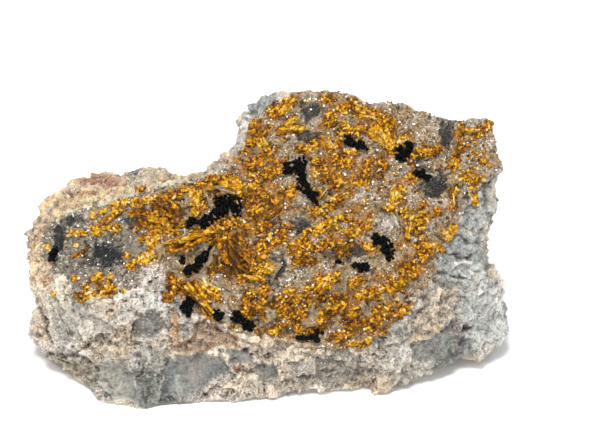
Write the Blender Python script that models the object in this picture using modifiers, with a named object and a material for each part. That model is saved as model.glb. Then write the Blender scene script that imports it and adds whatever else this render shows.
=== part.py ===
"""Uranophane on drusy quartz: a hand specimen 87.5 mm wide, for Blender 4.5, in metres with +Z up.

A block of pale silicified rock rests on its broken-flat base. Its display face leans back and
carries a crust of drusy quartz, and on the crust lie sprays of orange uranophane needles and
clusters of black manganese oxide.

Everything is drawn in the plane of the display face, in millimetres: U to the right, V up the
face and W out of it. stand_on_base() turns that plane back to its real lean, in metres, and
sets the origin at the middle of the base.
"""

import math
import random

import bmesh
import bpy
from mathutils import Matrix, Vector, noise
from mathutils.bvhtree import BVHTree

MM = 0.001
SPECIMEN = "uranophane_specimen"
CUTTERS = "cutters"

FACE_LEAN = math.radians(60)  # the display plane, turned up from lying flat
GAP = 0.3  # between pieces that touch
CRUST_THICKNESS = 1.9

# The block's outline in the display plane: left side, upper edge, right side, lower edge.
ROCK_OUTLINE = [
    (-41.7, 11.4), (-41.4, 15.5), (-40.8, 18.5), (-42.0, 21.0), (-42.9, 24.9), (-44.2, 29.0), (-44.8, 32.2),
    (-42.6, 34.6), (-41.0, 36.6), (-40.4, 39.8), (-38.6, 42.2), (-35.0, 43.1), (-30.5, 42.2), (-26.3, 42.0),
    (-23.9, 43.0), (-19.2, 42.2), (-16.7, 41.0), (-12.1, 41.4), (-9.4, 43.8), (-6.0, 45.6), (-4.2, 48.6),
    (-4.3, 52.9), (-3.9, 56.4), (-1.6, 57.6), (2.0, 56.2), (6.1, 56.0), (9.6, 56.3), (15.0, 55.9),
    (18.2, 53.7), (23.9, 53.9), (26.0, 53.5), (28.1, 51.6), (34.5, 50.9), (40.0, 51.4), (40.7, 50.6),
    (40.0, 47.0), (41.0, 44.3), (43.3, 42.2), (41.9, 39.0), (40.2, 34.5), (39.9, 29.6), (40.4, 25.1),
    (42.5, 21.2), (43.6, 15.0), (43.0, 11.8),
    (38.6, 9.2), (32.4, 6.8), (27.8, 5.7), (23.9, 5.0), (14.8, 3.9), (6.1, 3.6), (2.1, 2.7),
    (-4.6, 1.6), (-9.1, 0.7), (-15.3, 0.9), (-22.1, 0.2), (-25.6, 0.7), (-28.5, 2.0), (-32.4, 4.8),
    (-35.4, 6.8), (-39.5, 9.3),
]
# The crust's outline. Past the block's upper edge it runs free, so the crust ends with the block.
CRUST_OUTLINE = [
    (-40.4, 28.0), (-39.2, 32.4), (-34.0, 34.9), (-29.0, 35.9), (-22.0, 37.9), (-14.0, 39.9), (-9.0, 41.2),
    (-5.5, 43.9), (-3.4, 47.3), (-2.8, 50.5), (-0.3, 52.8), (2.8, 54.6), (5.5, 60.0), (46.0, 60.0),
    (46.0, 44.5), (41.3, 43.0), (38.0, 39.9), (35.0, 36.3), (33.6, 32.2), (30.6, 28.3), (29.8, 24.0),
    (25.8, 18.6), (22.3, 15.2), (18.4, 12.8), (14.0, 11.2), (6.0, 11.4), (1.0, 13.0), (-3.8, 13.4),
    (-13.0, 17.2), (-16.2, 20.4), (-18.2, 24.2), (-21.5, 23.4), (-24.4, 21.2), (-29.5, 19.2),
    (-34.0, 21.4), (-37.6, 24.8),
]

# The broken front below the crust: U, then V and W of its lower rim, and V where it meets the crust.
FRONT_STATIONS = [
    (-43.0, 11.6, -9.5, 27.5), (-40.0, 9.6, -7.5, 26.0), (-36.0, 7.2, -4.5, 23.0), (-29.5, 2.8, -1.0, 19.2),
    (-24.0, 0.4, 0.0, 21.2), (-18.0, 0.5, 0.0, 24.2), (-16.2, 0.8, 0.0, 20.4), (-13.0, 0.8, -0.3, 17.2),
    (-3.8, 1.5, -1.0, 13.4), (6.0, 3.6, -2.0, 11.4), (14.0, 3.9, -2.8, 11.2), (18.4, 4.3, -3.4, 12.8),
    (22.3, 4.8, -4.0, 15.2), (25.8, 5.3, -4.6, 18.6), (29.8, 6.1, -5.5, 24.0), (33.6, 7.1, -7.0, 32.2),
    (35.0, 7.6, -7.6, 36.3), (38.0, 8.9, -9.0, 39.9), (41.3, 10.4, -11.2, 43.0), (44.0, 11.6, -12.5, 45.0),
]

FACE_FOOT_W, FACE_FOOT_V, FACE_FALL = 3.0, 13.0, 0.28  # main crystal face: W at its foot, fall per mm of V
LOBE_W, LOBE_U, LOBE_V = -1.0, -15.0, 27.0  # left lobe of the face, turned a little to the left
LOBE_TURN, LOBE_FALL = 0.22, 0.20
LEDGE_U, LEDGE_V, LEDGE_W = -25.0, 36.4, -5.1  # bare ledge along the block's upper left edge
LEDGE_RISE, LEDGE_FALL = 0.239, 1.6
SADDLE_FALL = 1.7  # flank of the peak, down to the ledge
SADDLE_LOW, SADDLE_HIGH = (-11.7, 39.9), (-3.2, 47.0)
PEAK_LOW, PEAK_HIGH = (-3.2, 47.0), (0.0, 53.0)
BACK_W = -60.0

# Planes that the block broke along at the back: a point and an outward normal, standing, in mm.
BACK_BREAKS = [
    ((0, 40.5, 0), (0.03, 1, 0.02)),
    ((-43, 31, 0), (-0.62, 0.78, 0.10)),
    ((43, 29, 0), (0.66, 0.74, -0.06)),
    ((8, 39.4, 43), (0.14, 0.86, 0.49)),
    ((-24, 38.0, 32.0), (-0.34, 0.70, 0.62)),
    ((41, 33.8, 41), (0.55, 0.74, 0.38)),
]

ROCK_VOXEL = 1.15
EDGE_LOSS = 0.45  # what the rounding of the edges takes off the outline again
ROCK_TRIANGLES = 2900
TAPER = 0.0022  # the block narrows towards the back, per mm of depth
BREAK_SIZE, BREAK_DEPTH, SEAM_SHARPNESS = 8.0, 1.7, 11.0  # facets of the broken rock
GRAIN_SIZE, GRAIN_DEPTH = 2.6, 0.35
FACE_LUMP_SIZE, FACE_LUMP_DEPTH = 6.0, 0.55  # swell of the crystal face
GROOVE = [(20.0, 10.5), (27.0, 16.0), (32.5, 25.5), (36.5, 33.0)]  # hollow below the crust, at the right
GROOVE_WIDTH, GROOVE_DEPTH = 1.9, 1.7
RIGHT_KNEE = (34.0, 16.0, 9.0, 2.4)  # U, V, radius and height of the lump at the lower right
LEFT_SEAM = [(-42.5, 13.2), (-36.0, 11.4), (-30.5, 9.4), (-27.5, 7.0)]  # open crack above the left foot
LEFT_SEAM_WIDTH, LEFT_SEAM_DEPTH = 0.9, 1.3
FRONT_SCAR = [(-15.0, 16.0), (-9.0, 13.8), (-3.0, 11.4)]  # broken lip below the crust, at the left
FRONT_SCAR_WIDTH, FRONT_SCAR_DEPTH = 1.6, -0.9
KNOB = (-0.6, 54.2, 2.2, 0.9)  # glassy knob at the peak's left shoulder

QUARTZ_TRIES = 2600
QUARTZ_POINT_RADIUS, QUARTZ_POINT_HEIGHT = (0.45, 0.85), (0.7, 1.3)
QUARTZ_SPACING, QUARTZ_MARGIN = 5.0, 1.7  # between points, and from them to the crust's edge

# Sprays of uranophane: name, U and V of the root, heading and spread in degrees, length, blades.
SPRAYS = [
    ("peak_left", 3.6, 50.6, 5, 80, 3.4, 5),
    ("peak_shoulder", -1.6, 45.6, 75, 120, 4.2, 5),
    ("peak_ridge", 22.4, 46.6, 112, 70, 5.4, 4),
    ("peak_middle", 7.4, 45.6, 10, 130, 3.6, 5),
    ("upper_middle", 12.8, 40.6, 200, 120, 4.6, 5),
    ("right_of_hook", 11.4, 36.4, 300, 80, 4.4, 5),
    ("saddle", -4.6, 39.6, 205, 100, 6.4, 5),
    ("ledge_edge", -11.6, 38.0, 190, 80, 6.2, 5),
    ("left_fan", -13.6, 32.8, 152, 62, 8.6, 4),
    ("left_clump", -18.6, 28.6, 225, 170, 4.0, 5),
    ("long_blade", -8.8, 31.6, 206, 26, 9.6, 2),
    ("centre_fan", -8.2, 31.2, 290, 56, 8.8, 4),
    ("centre_blade", -10.6, 25.0, 62, 36, 6.6, 2),
    ("honey_lump", -15.0, 24.0, 250, 160, 3.6, 5),
    ("low_blade", -9.8, 17.6, 124, 34, 6.8, 2),
    ("centre_right", 4.6, 29.4, 350, 130, 4.4, 5),
    ("thin_blade", 0.2, 22.8, 162, 30, 5.6, 2),
    ("middle_fan", 2.4, 25.4, 200, 110, 4.6, 5),
    ("low_middle", 1.6, 16.6, 160, 130, 6.0, 5),
    ("low_centre", 7.4, 15.0, 75, 150, 5.8, 5),
    ("low_arch", 13.4, 17.4, 118, 100, 6.2, 5),
    ("low_right", 19.2, 15.2, 75, 130, 5.6, 5),
    ("right_foot", 24.6, 22.6, 30, 120, 4.8, 5),
    ("right_edge", 28.0, 26.8, 62, 80, 5.2, 5),
    ("right_clump", 31.6, 30.2, 95, 120, 4.2, 5),
    ("right_middle", 24.0, 33.4, 335, 100, 5.4, 5),
    ("upper_right", 23.4, 38.2, 250, 80, 6.0, 5),
    ("far_right", 36.2, 42.6, 222, 60, 6.2, 4),
    ("right_needles", 38.4, 41.0, 150, 26, 5.0, 2),
    ("edge_needles", 34.0, 35.4, 92, 22, 5.2, 2),
    ("corner_needles", 38.4, 49.8, 186, 18, 4.8, 2),
    ("ridge_right", 30.6, 45.8, 176, 100, 4.4, 5),
    ("left_speck", -29.6, 21.8, 30, 70, 3.6, 4),
]
NEEDLE_LIFT = (4, 17)  # degrees above the crust
ROOT_RADIUS, ROOT_HEIGHT = 0.6, 1.0
# The valleys end at this share of a blade's length.
RIDGE_HEIGHT, VALLEY_HEIGHT, VALLEY_SHARE = 1.15, 0.5, 0.5
BLADE_SKIRT, BLADE_TIP = 3.0, 0.45  # thickness at the root, before the ground is cut away, and at the tip
PATCH_DEPTH, PATCH_MARGIN = 9.0, 5.0  # how far the cutter of a crystal's ground reaches down and past it

# Clusters of black oxide: name, U, V, length, width and turn in degrees, and how many grains.
CLUSTERS = [
    ("large", -7.2, 36.2, 4.6, 3.2, 15, 7),
    ("left_of_large", -12.4, 33.2, 4.4, 1.6, 28, 4),
    ("hook", 5.0, 42.6, 4.4, 1.9, 12, 5),
    ("hook_tail", 8.2, 38.0, 4.6, 1.6, -52, 5),
    ("left_band", -12.4, 26.0, 5.6, 1.8, 52, 6),
    ("top_right", 16.0, 47.2, 4.0, 1.5, -18, 4),
    ("blocky_upper", 25.0, 45.8, 3.6, 2.2, 58, 4),
    ("blocky_lower", 21.0, 29.2, 5.2, 2.2, -56, 5),
    ("deep_centre", 16.8, 25.6, 2.6, 1.5, -10, 4),
    ("right_patch", 28.2, 41.6, 3.0, 1.5, -20, 4),
    ("low_dot", -8.4, 16.8, 1.8, 1.6, 0, 4),
    ("low_left", -4.2, 15.8, 4.2, 1.9, -34, 4),
    ("foot", 7.4, 12.6, 4.2, 1.1, -8, 4),
    ("rim_left", -13.8, 18.2, 2.8, 2.0, 60, 4),
    ("lobe_corner", -38.2, 27.2, 2.4, 1.3, 40, 4),
]
GRAIN_RADIUS = (0.5, 0.85)

COLOURS = {  # colour and roughness
    "matrix_rock": ((0.56, 0.50, 0.43), 0.85),
    "quartz": ((0.55, 0.50, 0.45), 0.28),
    "uranophane": ((0.72, 0.36, 0.03), 0.35),
    "black_oxide": ((0.015, 0.016, 0.018), 0.45),
}


def clear_scene():
    for old in list(bpy.data.objects):
        bpy.data.objects.remove(old, do_unlink=True)


def new_collection(name):
    collection = bpy.data.collections.new(name)
    bpy.context.scene.collection.children.link(collection)
    return collection


def material(name):
    colour, roughness = COLOURS[name]
    made = bpy.data.materials.new(name)
    made.use_nodes = True
    shader = made.node_tree.nodes["Principled BSDF"]
    shader.inputs["Base Color"].default_value = (*colour, 1.0)
    shader.inputs["Roughness"].default_value = roughness
    shader.inputs["Metallic"].default_value = 0.0
    made.diffuse_color = (*colour, 1.0)
    return made


# ---------------------------------------------------------------- shape of the block


def along(stations, u, column):
    """The value in a column of FRONT_STATIONS at U, on straight lines between the stations."""
    low = stations[0]
    for high in stations[1:]:
        if u <= high[0]:
            share = max(0.0, (u - low[0]) / (high[0] - low[0]))
            return low[column] + share * (high[column] - low[column])
        low = high
    return low[column]


def left_of(start, end, u, v):
    """How far (u, v) lies to the left of the line from start to end."""
    run, rise = end[0] - start[0], end[1] - start[1]
    return (run * (v - start[1]) - rise * (u - start[0])) / math.hypot(run, rise)


def near_path(path, u, v):
    """Distance from (u, v) to a path of straight runs."""
    point = Vector((u, v))
    best = math.inf
    for a, b in zip(path, path[1:]):
        start, run = Vector(a), Vector(b) - Vector(a)
        share = min(1.0, max(0.0, (point - start).dot(run) / run.length_squared))
        best = min(best, (start + share * run - point).length)
    return best


def bell(distance, width):
    return math.exp(-((distance / width) ** 2))


def inside(outline, u, v):
    """Whether (u, v) lies within a closed outline."""
    within = False
    for (u0, v0), (u1, v1) in zip(outline, outline[1:] + outline[:1]):
        if (v0 > v) != (v1 > v) and u < u0 + (v - v0) * (u1 - u0) / (v1 - v0):
            within = not within
    return within


def crystal_face(u, v):
    """W of the two planes that the crust covers, with the ledge and the saddle that break them off."""
    main = FACE_FOOT_W - FACE_FALL * (v - FACE_FOOT_V)
    lobe = LOBE_W + LOBE_TURN * (u - LOBE_U) - LOBE_FALL * (v - LOBE_V)
    ledge = LEDGE_W - LEDGE_FALL * (v - LEDGE_V - LEDGE_RISE * (u - LEDGE_U))
    past_edge = min(left_of(SADDLE_LOW, SADDLE_HIGH, u, v), left_of(PEAK_LOW, PEAK_HIGH, u, v))
    return max(min(main, lobe, ledge), main - SADDLE_FALL * max(0.0, past_edge))


def broken_front(u, v):
    """W of the front below the crust, from its lower rim up to the crust's edge."""
    rim_v, rim_w, edge_v = (along(FRONT_STATIONS, u, column) for column in (1, 2, 3))
    share = min(1.0, max(0.0, (v - rim_v) / (edge_v - rim_v)))
    w = rim_w + share * (crystal_face(u, edge_v) - rim_w)
    knee_u, knee_v, knee_radius, knee_height = RIGHT_KNEE
    w += knee_height * bell(math.hypot(u - knee_u, v - knee_v), knee_radius)
    w -= GROOVE_DEPTH * bell(near_path(GROOVE, u, v), GROOVE_WIDTH)
    w -= LEFT_SEAM_DEPTH * bell(near_path(LEFT_SEAM, u, v), LEFT_SEAM_WIDTH)
    w -= FRONT_SCAR_DEPTH * bell(near_path(FRONT_SCAR, u, v), FRONT_SCAR_WIDTH)
    return w


def front(u, v):
    if v < along(FRONT_STATIONS, u, 3):
        return broken_front(u, v)
    knob_u, knob_v, knob_radius, knob_height = KNOB
    return crystal_face(u, v) + knob_height * bell(math.hypot(u - knob_u, v - knob_v), knob_radius)


# ---------------------------------------------------------------- mesh tools


def object_of(name, bm, collection):
    mesh = bpy.data.meshes.new(name)
    bm.to_mesh(mesh)
    bm.free()
    obj = bpy.data.objects.new(name, mesh)
    collection.objects.link(obj)
    return obj


def as_helper(obj):
    obj.hide_render = True
    obj.display_type = "WIRE"
    return obj


def evaluated(obj):
    """A bmesh of the object with its modifiers and its placing applied."""
    bpy.context.view_layer.update()
    graph = bpy.context.evaluated_depsgraph_get()
    mesh = bpy.data.meshes.new_from_object(obj.evaluated_get(graph))
    bm = bmesh.new()
    bm.from_mesh(mesh)
    bm.transform(obj.matrix_world)
    bpy.data.meshes.remove(mesh)
    return bm


def apply_modifiers(obj):
    bm = evaluated(obj)
    obj.modifiers.clear()
    bm.to_mesh(obj.data)
    bm.free()
    return obj


def boolean(obj, cutter, operation, use_self=False):
    modifier = obj.modifiers.new(operation.lower(), "BOOLEAN")
    modifier.operation = operation
    modifier.object = cutter
    modifier.solver = "EXACT"
    modifier.use_self = use_self
    return modifier


def prism(name, outline, low, high, collection, grow=0.0):
    """The outline, pushed out by grow, as a closed prism from low to high in W."""
    curve = bpy.data.curves.new(name, "CURVE")
    curve.dimensions = "2D"
    curve.fill_mode = "BOTH"
    curve.extrude = (high - low) / 2
    curve.offset = grow
    spline = curve.splines.new("POLY")
    spline.points.add(len(outline) - 1)
    for point, (u, v) in zip(spline.points, outline):
        point.co = (u, v, 0, 1)
    spline.use_cyclic_u = True
    drawn = bpy.data.objects.new(name, curve)
    collection.objects.link(drawn)
    drawn.location.z = (high + low) / 2
    bm = evaluated(drawn)
    bpy.data.objects.remove(drawn)
    bmesh.ops.remove_doubles(bm, verts=bm.verts, dist=1e-4)
    bmesh.ops.recalc_face_normals(bm, faces=bm.faces)
    return as_helper(object_of(name, bm, collection))


def slab(name, size_u, size_v, centre, cell, collection):
    """A flat slab one millimetre thick, with a grid of cells on its top and its bottom."""
    bm = bmesh.new()
    bmesh.ops.create_cube(bm, size=1.0)
    bmesh.ops.scale(bm, vec=(size_u, size_v, 1.0), verts=bm.verts)
    for axis, length in ((0, size_u), (1, size_v)):
        for step in range(1, int(length / cell)):
            place, normal = Vector((0, 0, 0)), Vector((0, 0, 0))
            place[axis] = -length / 2 + step * cell
            normal[axis] = 1
            geometry = bm.verts[:] + bm.edges[:] + bm.faces[:]
            bmesh.ops.bisect_plane(bm, geom=geometry, plane_co=place, plane_no=normal)
    bmesh.ops.translate(bm, vec=(*centre, 0.0), verts=bm.verts)
    return object_of(name, bm, collection)


def block_between(name, outline, floor, roof, cell, collection, grow=0.0):
    """A solid over an outline, with its floor and its roof at W given by functions of U and V."""
    low_u, high_u = min(p[0] for p in outline) - 2, max(p[0] for p in outline) + 2
    low_v, high_v = min(p[1] for p in outline) - 2, max(p[1] for p in outline) + 2
    centre = ((low_u + high_u) / 2, (low_v + high_v) / 2)
    block = slab(name, high_u - low_u, high_v - low_v, centre, cell, collection)
    cutter = prism(name + "_outline", outline, -1.0, 1.0, collection, grow)
    boolean(block, cutter, "INTERSECT")
    apply_modifiers(block)
    bm = bmesh.new()
    bm.from_mesh(block.data)
    bmesh.ops.triangulate(bm, faces=bm.faces)
    for vert in bm.verts:
        u, v, side = vert.co
        vert.co.z = roof(u, v) if side > 0 else floor(u, v)
    bm.to_mesh(block.data)
    bm.free()
    bpy.data.objects.remove(cutter)
    return block


def cut_away(bm, point, normal):
    """Breaks off all that lies past a plane, and closes the break."""
    geometry = bm.verts[:] + bm.edges[:] + bm.faces[:]
    bmesh.ops.bisect_plane(bm, geom=geometry, plane_co=point, plane_no=normal, clear_outer=True)
    rim = [edge for edge in bm.edges if edge.is_boundary]
    bmesh.ops.contextual_create(bm, geom=rim)


def keep_largest(bm):
    """Drops the crumbs that a cut leaves beside the main piece, also those that touch it at an edge."""
    unseen = set(bm.faces)
    pieces = []
    while unseen:
        stack, piece = [unseen.pop()], []
        while stack:
            face = stack.pop()
            piece.append(face)
            for edge in face.edges:
                for other in edge.link_faces if len(edge.link_faces) == 2 else ():
                    if other in unseen:
                        unseen.remove(other)
                        stack.append(other)
        pieces.append(piece)
    pieces.sort(key=lambda piece: sum(face.calc_area() for face in piece))
    for piece in pieces[:-1]:
        bmesh.ops.delete(bm, geom=piece, context="FACES")


# ---------------------------------------------------------------- the pieces


def broken_relief(point):
    """Height of the rock's facets at a point: tilted flats that run into each other over a narrow seam."""
    distances, spots = noise.voronoi(point / BREAK_SIZE)
    total = weight = 0.0
    for distance, spot in zip(distances, spots):
        tilt = noise.cell_vector(spot * 7.3) - Vector((0.5, 0.5, 0.5))
        share = math.exp(-SEAM_SHARPNESS * (distance - distances[0]))
        total += share * (tilt.x + 1.6 * tilt.dot(point / BREAK_SIZE - spot))
        weight += share
    return BREAK_DEPTH * total / weight + GRAIN_DEPTH * noise.noise(point / GRAIN_SIZE)


def crystal_relief(point):
    swell = noise.noise(point / FACE_LUMP_SIZE)
    return FACE_LUMP_DEPTH * swell + GRAIN_DEPTH * 0.8 * noise.noise(point / GRAIN_SIZE)


def voxels(obj):
    remesh = obj.modifiers.new("remesh", "REMESH")
    remesh.mode = "VOXEL"
    remesh.voxel_size = ROCK_VOXEL
    apply_modifiers(obj)


def make_body(collection):
    """The whole block, crust included, with its relief and its flat base."""
    body = block_between("body", ROCK_OUTLINE, lambda u, v: BACK_W, front, 2.0, collection, grow=EDGE_LOSS)
    turn = Matrix.Rotation(FACE_LEAN, 3, "X")
    down = turn.transposed() @ Vector((0, 0, -1))
    bm = bmesh.new()
    bm.from_mesh(body.data)
    for point, normal in BACK_BREAKS:
        cut_away(bm, turn.transposed() @ Vector(point), turn.transposed() @ Vector(normal).normalized())
    cut_away(bm, down * 3.0, down)
    bm.to_mesh(body.data)
    bm.free()
    voxels(body)
    bm = bmesh.new()
    bm.from_mesh(body.data)
    bm.normal_update()
    moves = []
    for vert in bm.verts:
        u, v, w = vert.co
        depth = max(0.0, front(u, v) - w)
        on_face = depth < 2.0 and vert.normal.z > 0.5 and inside(CRUST_OUTLINE, u, v)
        relief = crystal_relief(vert.co) if on_face else broken_relief(vert.co)
        narrowing = TAPER * depth
        moves.append(vert.normal * relief - Vector((u, v - 28, 0)) * narrowing)
    for vert, move in zip(bm.verts, moves):
        vert.co += move
    bm.to_mesh(body.data)
    bm.free()
    voxels(body)
    decimate = body.modifiers.new("decimate", "DECIMATE")
    decimate.ratio = ROCK_TRIANGLES / (2 * len(body.data.polygons))
    apply_modifiers(body)
    bm = bmesh.new()
    bm.from_mesh(body.data)
    cut_away(bm, Vector((0, 0, 0)), down)
    bmesh.ops.triangulate(bm, faces=bm.faces)
    bm.to_mesh(body.data)
    bm.free()
    return as_helper(body)


def copy_of(obj, name, collection):
    made = bpy.data.objects.new(name, obj.data.copy())
    collection.objects.link(made)
    return made


def recess_floor(u, v):
    return crystal_face(u, v) - CRUST_THICKNESS


def make_rock(body, parts, cutters):
    """The block, with a recess where the crust lies."""
    rock = copy_of(body, "matrix_rock", parts)
    recess = as_helper(block_between("recess", CRUST_OUTLINE, recess_floor, lambda u, v: 30.0, 3.0, cutters))
    boolean(rock, recess, "DIFFERENCE")
    return apply_modifiers(rock)


def standing_at(spot, normal):
    """Places what is drawn around the origin on the ground at a spot, its headings kept."""
    turn = Vector((0, 0, 1)).rotation_difference(normal)
    return Matrix.Translation(spot) @ turn.to_matrix().to_4x4()


def surface_at(surface, u, v):
    """The point of the front at (u, v), and the way it faces."""
    spot, normal, _, _ = surface.ray_cast(Vector((u, v, 50)), Vector((0, 0, -1)))
    return spot, normal


def ground_patch(body, obj, cutters):
    """The ground under an object, raised by the gap, as a cutter that reaches down into the block."""
    spots = [vert.co for vert in obj.data.vertices]
    low_u, high_u = min(c.x for c in spots) - PATCH_MARGIN, max(c.x for c in spots) + PATCH_MARGIN
    low_v, high_v = min(c.y for c in spots) - PATCH_MARGIN, max(c.y for c in spots) + PATCH_MARGIN
    bm = bmesh.new()
    bm.from_mesh(body.data)
    far = []
    for face in bm.faces:
        u, v, _ = face.calc_center_median()
        if face.normal.z < 0.05 or not (low_u < u < high_u and low_v < v < high_v):
            far.append(face)
    bmesh.ops.delete(bm, geom=far, context="FACES")
    keep_largest(bm)
    lower = bmesh.ops.extrude_face_region(bm, geom=bm.faces[:], use_keep_orig=True)["geom"]
    moved = [item for item in lower if isinstance(item, bmesh.types.BMVert)]
    bmesh.ops.translate(bm, vec=(0, 0, -PATCH_DEPTH), verts=moved)
    bmesh.ops.translate(bm, vec=(0, 0, GAP), verts=bm.verts)
    bmesh.ops.recalc_face_normals(bm, faces=bm.faces)
    return as_helper(object_of("patch", bm, cutters))


def tree_of(obj):
    bm = evaluated(obj)
    tree = BVHTree.FromBMesh(bm)
    bm.free()
    return tree


def room_around(neighbour, cutters):
    """The hull of a neighbour, larger by the gap, as a cutter."""
    bm = evaluated(neighbour)
    hull = bmesh.ops.convex_hull(bm, input=bm.verts)
    bmesh.ops.delete(bm, geom=list(set(hull["geom_unused"] + hull["geom_interior"])), context="VERTS")
    spare = [face for face in bm.faces if face not in set(hull["geom"])]
    bmesh.ops.delete(bm, geom=spare, context="FACES_ONLY")
    bmesh.ops.recalc_face_normals(bm, faces=bm.faces)
    bm.normal_update()
    pushed = [vert.co + vert.normal * GAP * 1.6 for vert in bm.verts]
    for vert, place in zip(bm.verts, pushed):
        vert.co = place
    return as_helper(object_of("room", bm, cutters))


def settle(obj, body, earlier, cutters):
    """Cuts a crystal to the ground it grows on and to its neighbours, and drops its crumbs."""
    boolean(obj, ground_patch(body, obj, cutters), "DIFFERENCE", use_self=True)
    apply_modifiers(obj)
    own = tree_of(obj)
    for neighbour in earlier:
        if own.overlap(tree_of(neighbour)):
            boolean(obj, room_around(neighbour, cutters), "DIFFERENCE")
    bm = evaluated(obj)
    keep_largest(bm)
    bmesh.ops.triangulate(bm, faces=bm.faces)
    obj.modifiers.clear()
    bm.to_mesh(obj.data)
    bm.free()
    return obj


def make_spray(spray, seed, surface, parts):
    """A fan of blades, grown together near the root: each has a ridge, a sharp tip and two valleys."""
    name, u, v, heading, spread, length, blades = spray
    pick = random.Random(seed)
    spot, normal = surface_at(surface, u, v)
    pitch = math.radians(spread / blades)
    start = math.radians(heading - spread / 2)
    reach = [length * pick.uniform(0.66, 1.0) for _ in range(blades)]
    bm = bmesh.new()

    def level(angle, far, top, thick):
        """The two vertices, above and below, at an angle and a distance from the root."""
        at = (far * math.cos(angle), far * math.sin(angle))
        return bm.verts.new((*at, top)), bm.verts.new((*at, top - thick))

    root = level(start + pitch * blades / 2 + math.pi, ROOT_RADIUS, ROOT_HEIGHT, BLADE_SKIRT)
    rim = []
    for index in range(blades):
        lift = math.tan(math.radians(pick.uniform(*NEEDLE_LIFT)))
        shared = reach[max(0, index - 1):index + 1]
        rim.append(level(start + pitch * index, min(shared) * VALLEY_SHARE, VALLEY_HEIGHT, BLADE_SKIRT))
        angle = start + pitch * (index + 0.5 + pick.uniform(-0.2, 0.2))
        rim.append(level(angle, reach[index], VALLEY_HEIGHT + reach[index] * lift, BLADE_TIP))
    rim.append(level(start + pitch * blades, reach[-1] * VALLEY_SHARE, VALLEY_HEIGHT, BLADE_SKIRT))
    ridges = [
        level(start + pitch * (index + 0.5), reach[index] * VALLEY_SHARE * 0.8, RIDGE_HEIGHT, BLADE_SKIRT)[0]
        for index in range(blades)
    ]
    for index in range(blades):
        (left, _), (tip, _), (right, _) = rim[2 * index:2 * index + 3]
        ridge = ridges[index]
        for corners in (
            (ridge, left, tip), (ridge, tip, right), (ridge, root[0], left), (ridge, right, root[0]),
        ):
            bm.faces.new(corners)
    ring = [root] + rim
    for (top_a, low_a), (top_b, low_b) in zip(ring, ring[1:] + ring[:1]):
        bm.faces.new((top_a, low_a, low_b, top_b))
    for (_, low_a), (_, low_b) in zip(rim, rim[1:]):
        bm.faces.new((root[1], low_b, low_a))
    loose = [vert for vert in bm.verts if not vert.link_faces]
    bmesh.ops.delete(bm, geom=loose, context="VERTS")
    bmesh.ops.recalc_face_normals(bm, faces=bm.faces)
    bmesh.ops.triangulate(bm, faces=bm.faces)
    bm.transform(standing_at(spot, normal))
    return object_of("uranophane_" + name, bm, parts)


def grow_together(sprays):
    """Joins every spray that runs into an earlier one with it, and returns those that are left."""
    left = []
    for spray in sprays:
        tree = tree_of(spray)
        meets = [other for other in left if tree.overlap(tree_of(other))]
        if not meets:
            left.append(spray)
            continue
        first = meets[0]
        for other in [spray] + meets[1:]:
            boolean(first, other, "UNION", use_self=True)
            apply_modifiers(first)
            bpy.data.objects.remove(other)
            if other in left:
                left.remove(other)
    return left


def make_cluster(cluster, seed, surface, body, earlier, parts, cutters):
    """Angular grains of black oxide, grown together in one lump."""
    name, u, v, length, width, turn, grains = cluster
    pick = random.Random(seed)
    heading = math.radians(turn)
    bm = bmesh.new()
    for index in range(grains):
        run = (index / (grains - 1) - 0.5) * length * 0.82
        side = pick.uniform(-0.5, 0.5) * width * 0.62
        at_u = u + run * math.cos(heading) - side * math.sin(heading)
        at_v = v + run * math.sin(heading) + side * math.cos(heading)
        spot, normal = surface_at(surface, at_u, at_v)
        if spot is None:
            continue
        radius = pick.uniform(*GRAIN_RADIUS)
        axis = Vector((pick.random(), pick.random(), 0.3)).normalized()
        tilt = Matrix.Rotation(pick.uniform(0, math.tau), 4, axis)
        place = Matrix.Translation(spot + normal * radius * 0.45) @ tilt
        bmesh.ops.create_cube(bm, size=radius * 1.5, matrix=place)
    grown = object_of("black_oxide_" + name, bm, parts)
    core_spot, core_normal = surface_at(surface, u, v)
    core = bmesh.new()
    bmesh.ops.create_icosphere(core, subdivisions=1, radius=1.0)
    reach = Matrix.Diagonal((length * 0.5, width * 0.42, 0.75, 1.0))
    core.transform(standing_at(core_spot, core_normal) @ Matrix.Rotation(heading, 4, "Z") @ reach)
    middle = as_helper(object_of("core_" + name, core, cutters))
    boolean(grown, middle, "UNION", use_self=True)
    apply_modifiers(grown)
    return settle(grown, body, earlier, cutters)


def quartz_points(surface, settled, cutters):
    """Hexagonal quartz points scattered over the crust where nothing else grows, as one overlapping mesh."""
    trees = [tree_of(obj) for obj in settled]
    pick = random.Random(11)
    points = bmesh.new()
    placed = []
    for _ in range(QUARTZ_TRIES):
        u, v = pick.uniform(-39, 40), pick.uniform(12, 55)
        height, radius = pick.uniform(*QUARTZ_POINT_HEIGHT), pick.uniform(*QUARTZ_POINT_RADIUS)
        lean = Vector((pick.uniform(-0.4, 0.4), pick.uniform(-0.4, 0.4), 0))
        spin = Matrix.Rotation(pick.uniform(0, math.pi), 4, "Z")
        sides = ((1, 0), (0, 1), (-1, 0), (0, -1))
        around = [(u + QUARTZ_MARGIN * a, v + QUARTZ_MARGIN * b) for a, b in sides]
        if not all(inside(CRUST_OUTLINE, *at) for at in around):
            continue
        if any(math.hypot(u - a, v - b) < QUARTZ_SPACING for a, b in placed):
            continue
        spot, normal = surface_at(surface, u, v)
        if spot is None or normal.z < 0.7:
            continue
        if any(tree.find_nearest(spot, radius + height + GAP)[0] for tree in trees):
            continue
        placed.append((u, v))
        upright = standing_at(spot, (normal + lean).normalized())
        place = upright @ spin @ Matrix.Translation((0, 0, height * 0.3))
        bmesh.ops.create_cone(
            points, cap_ends=True, segments=6, radius1=radius, radius2=0.0, depth=height * 1.4, matrix=place
        )
    return as_helper(object_of("quartz_points", points, cutters))


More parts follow.
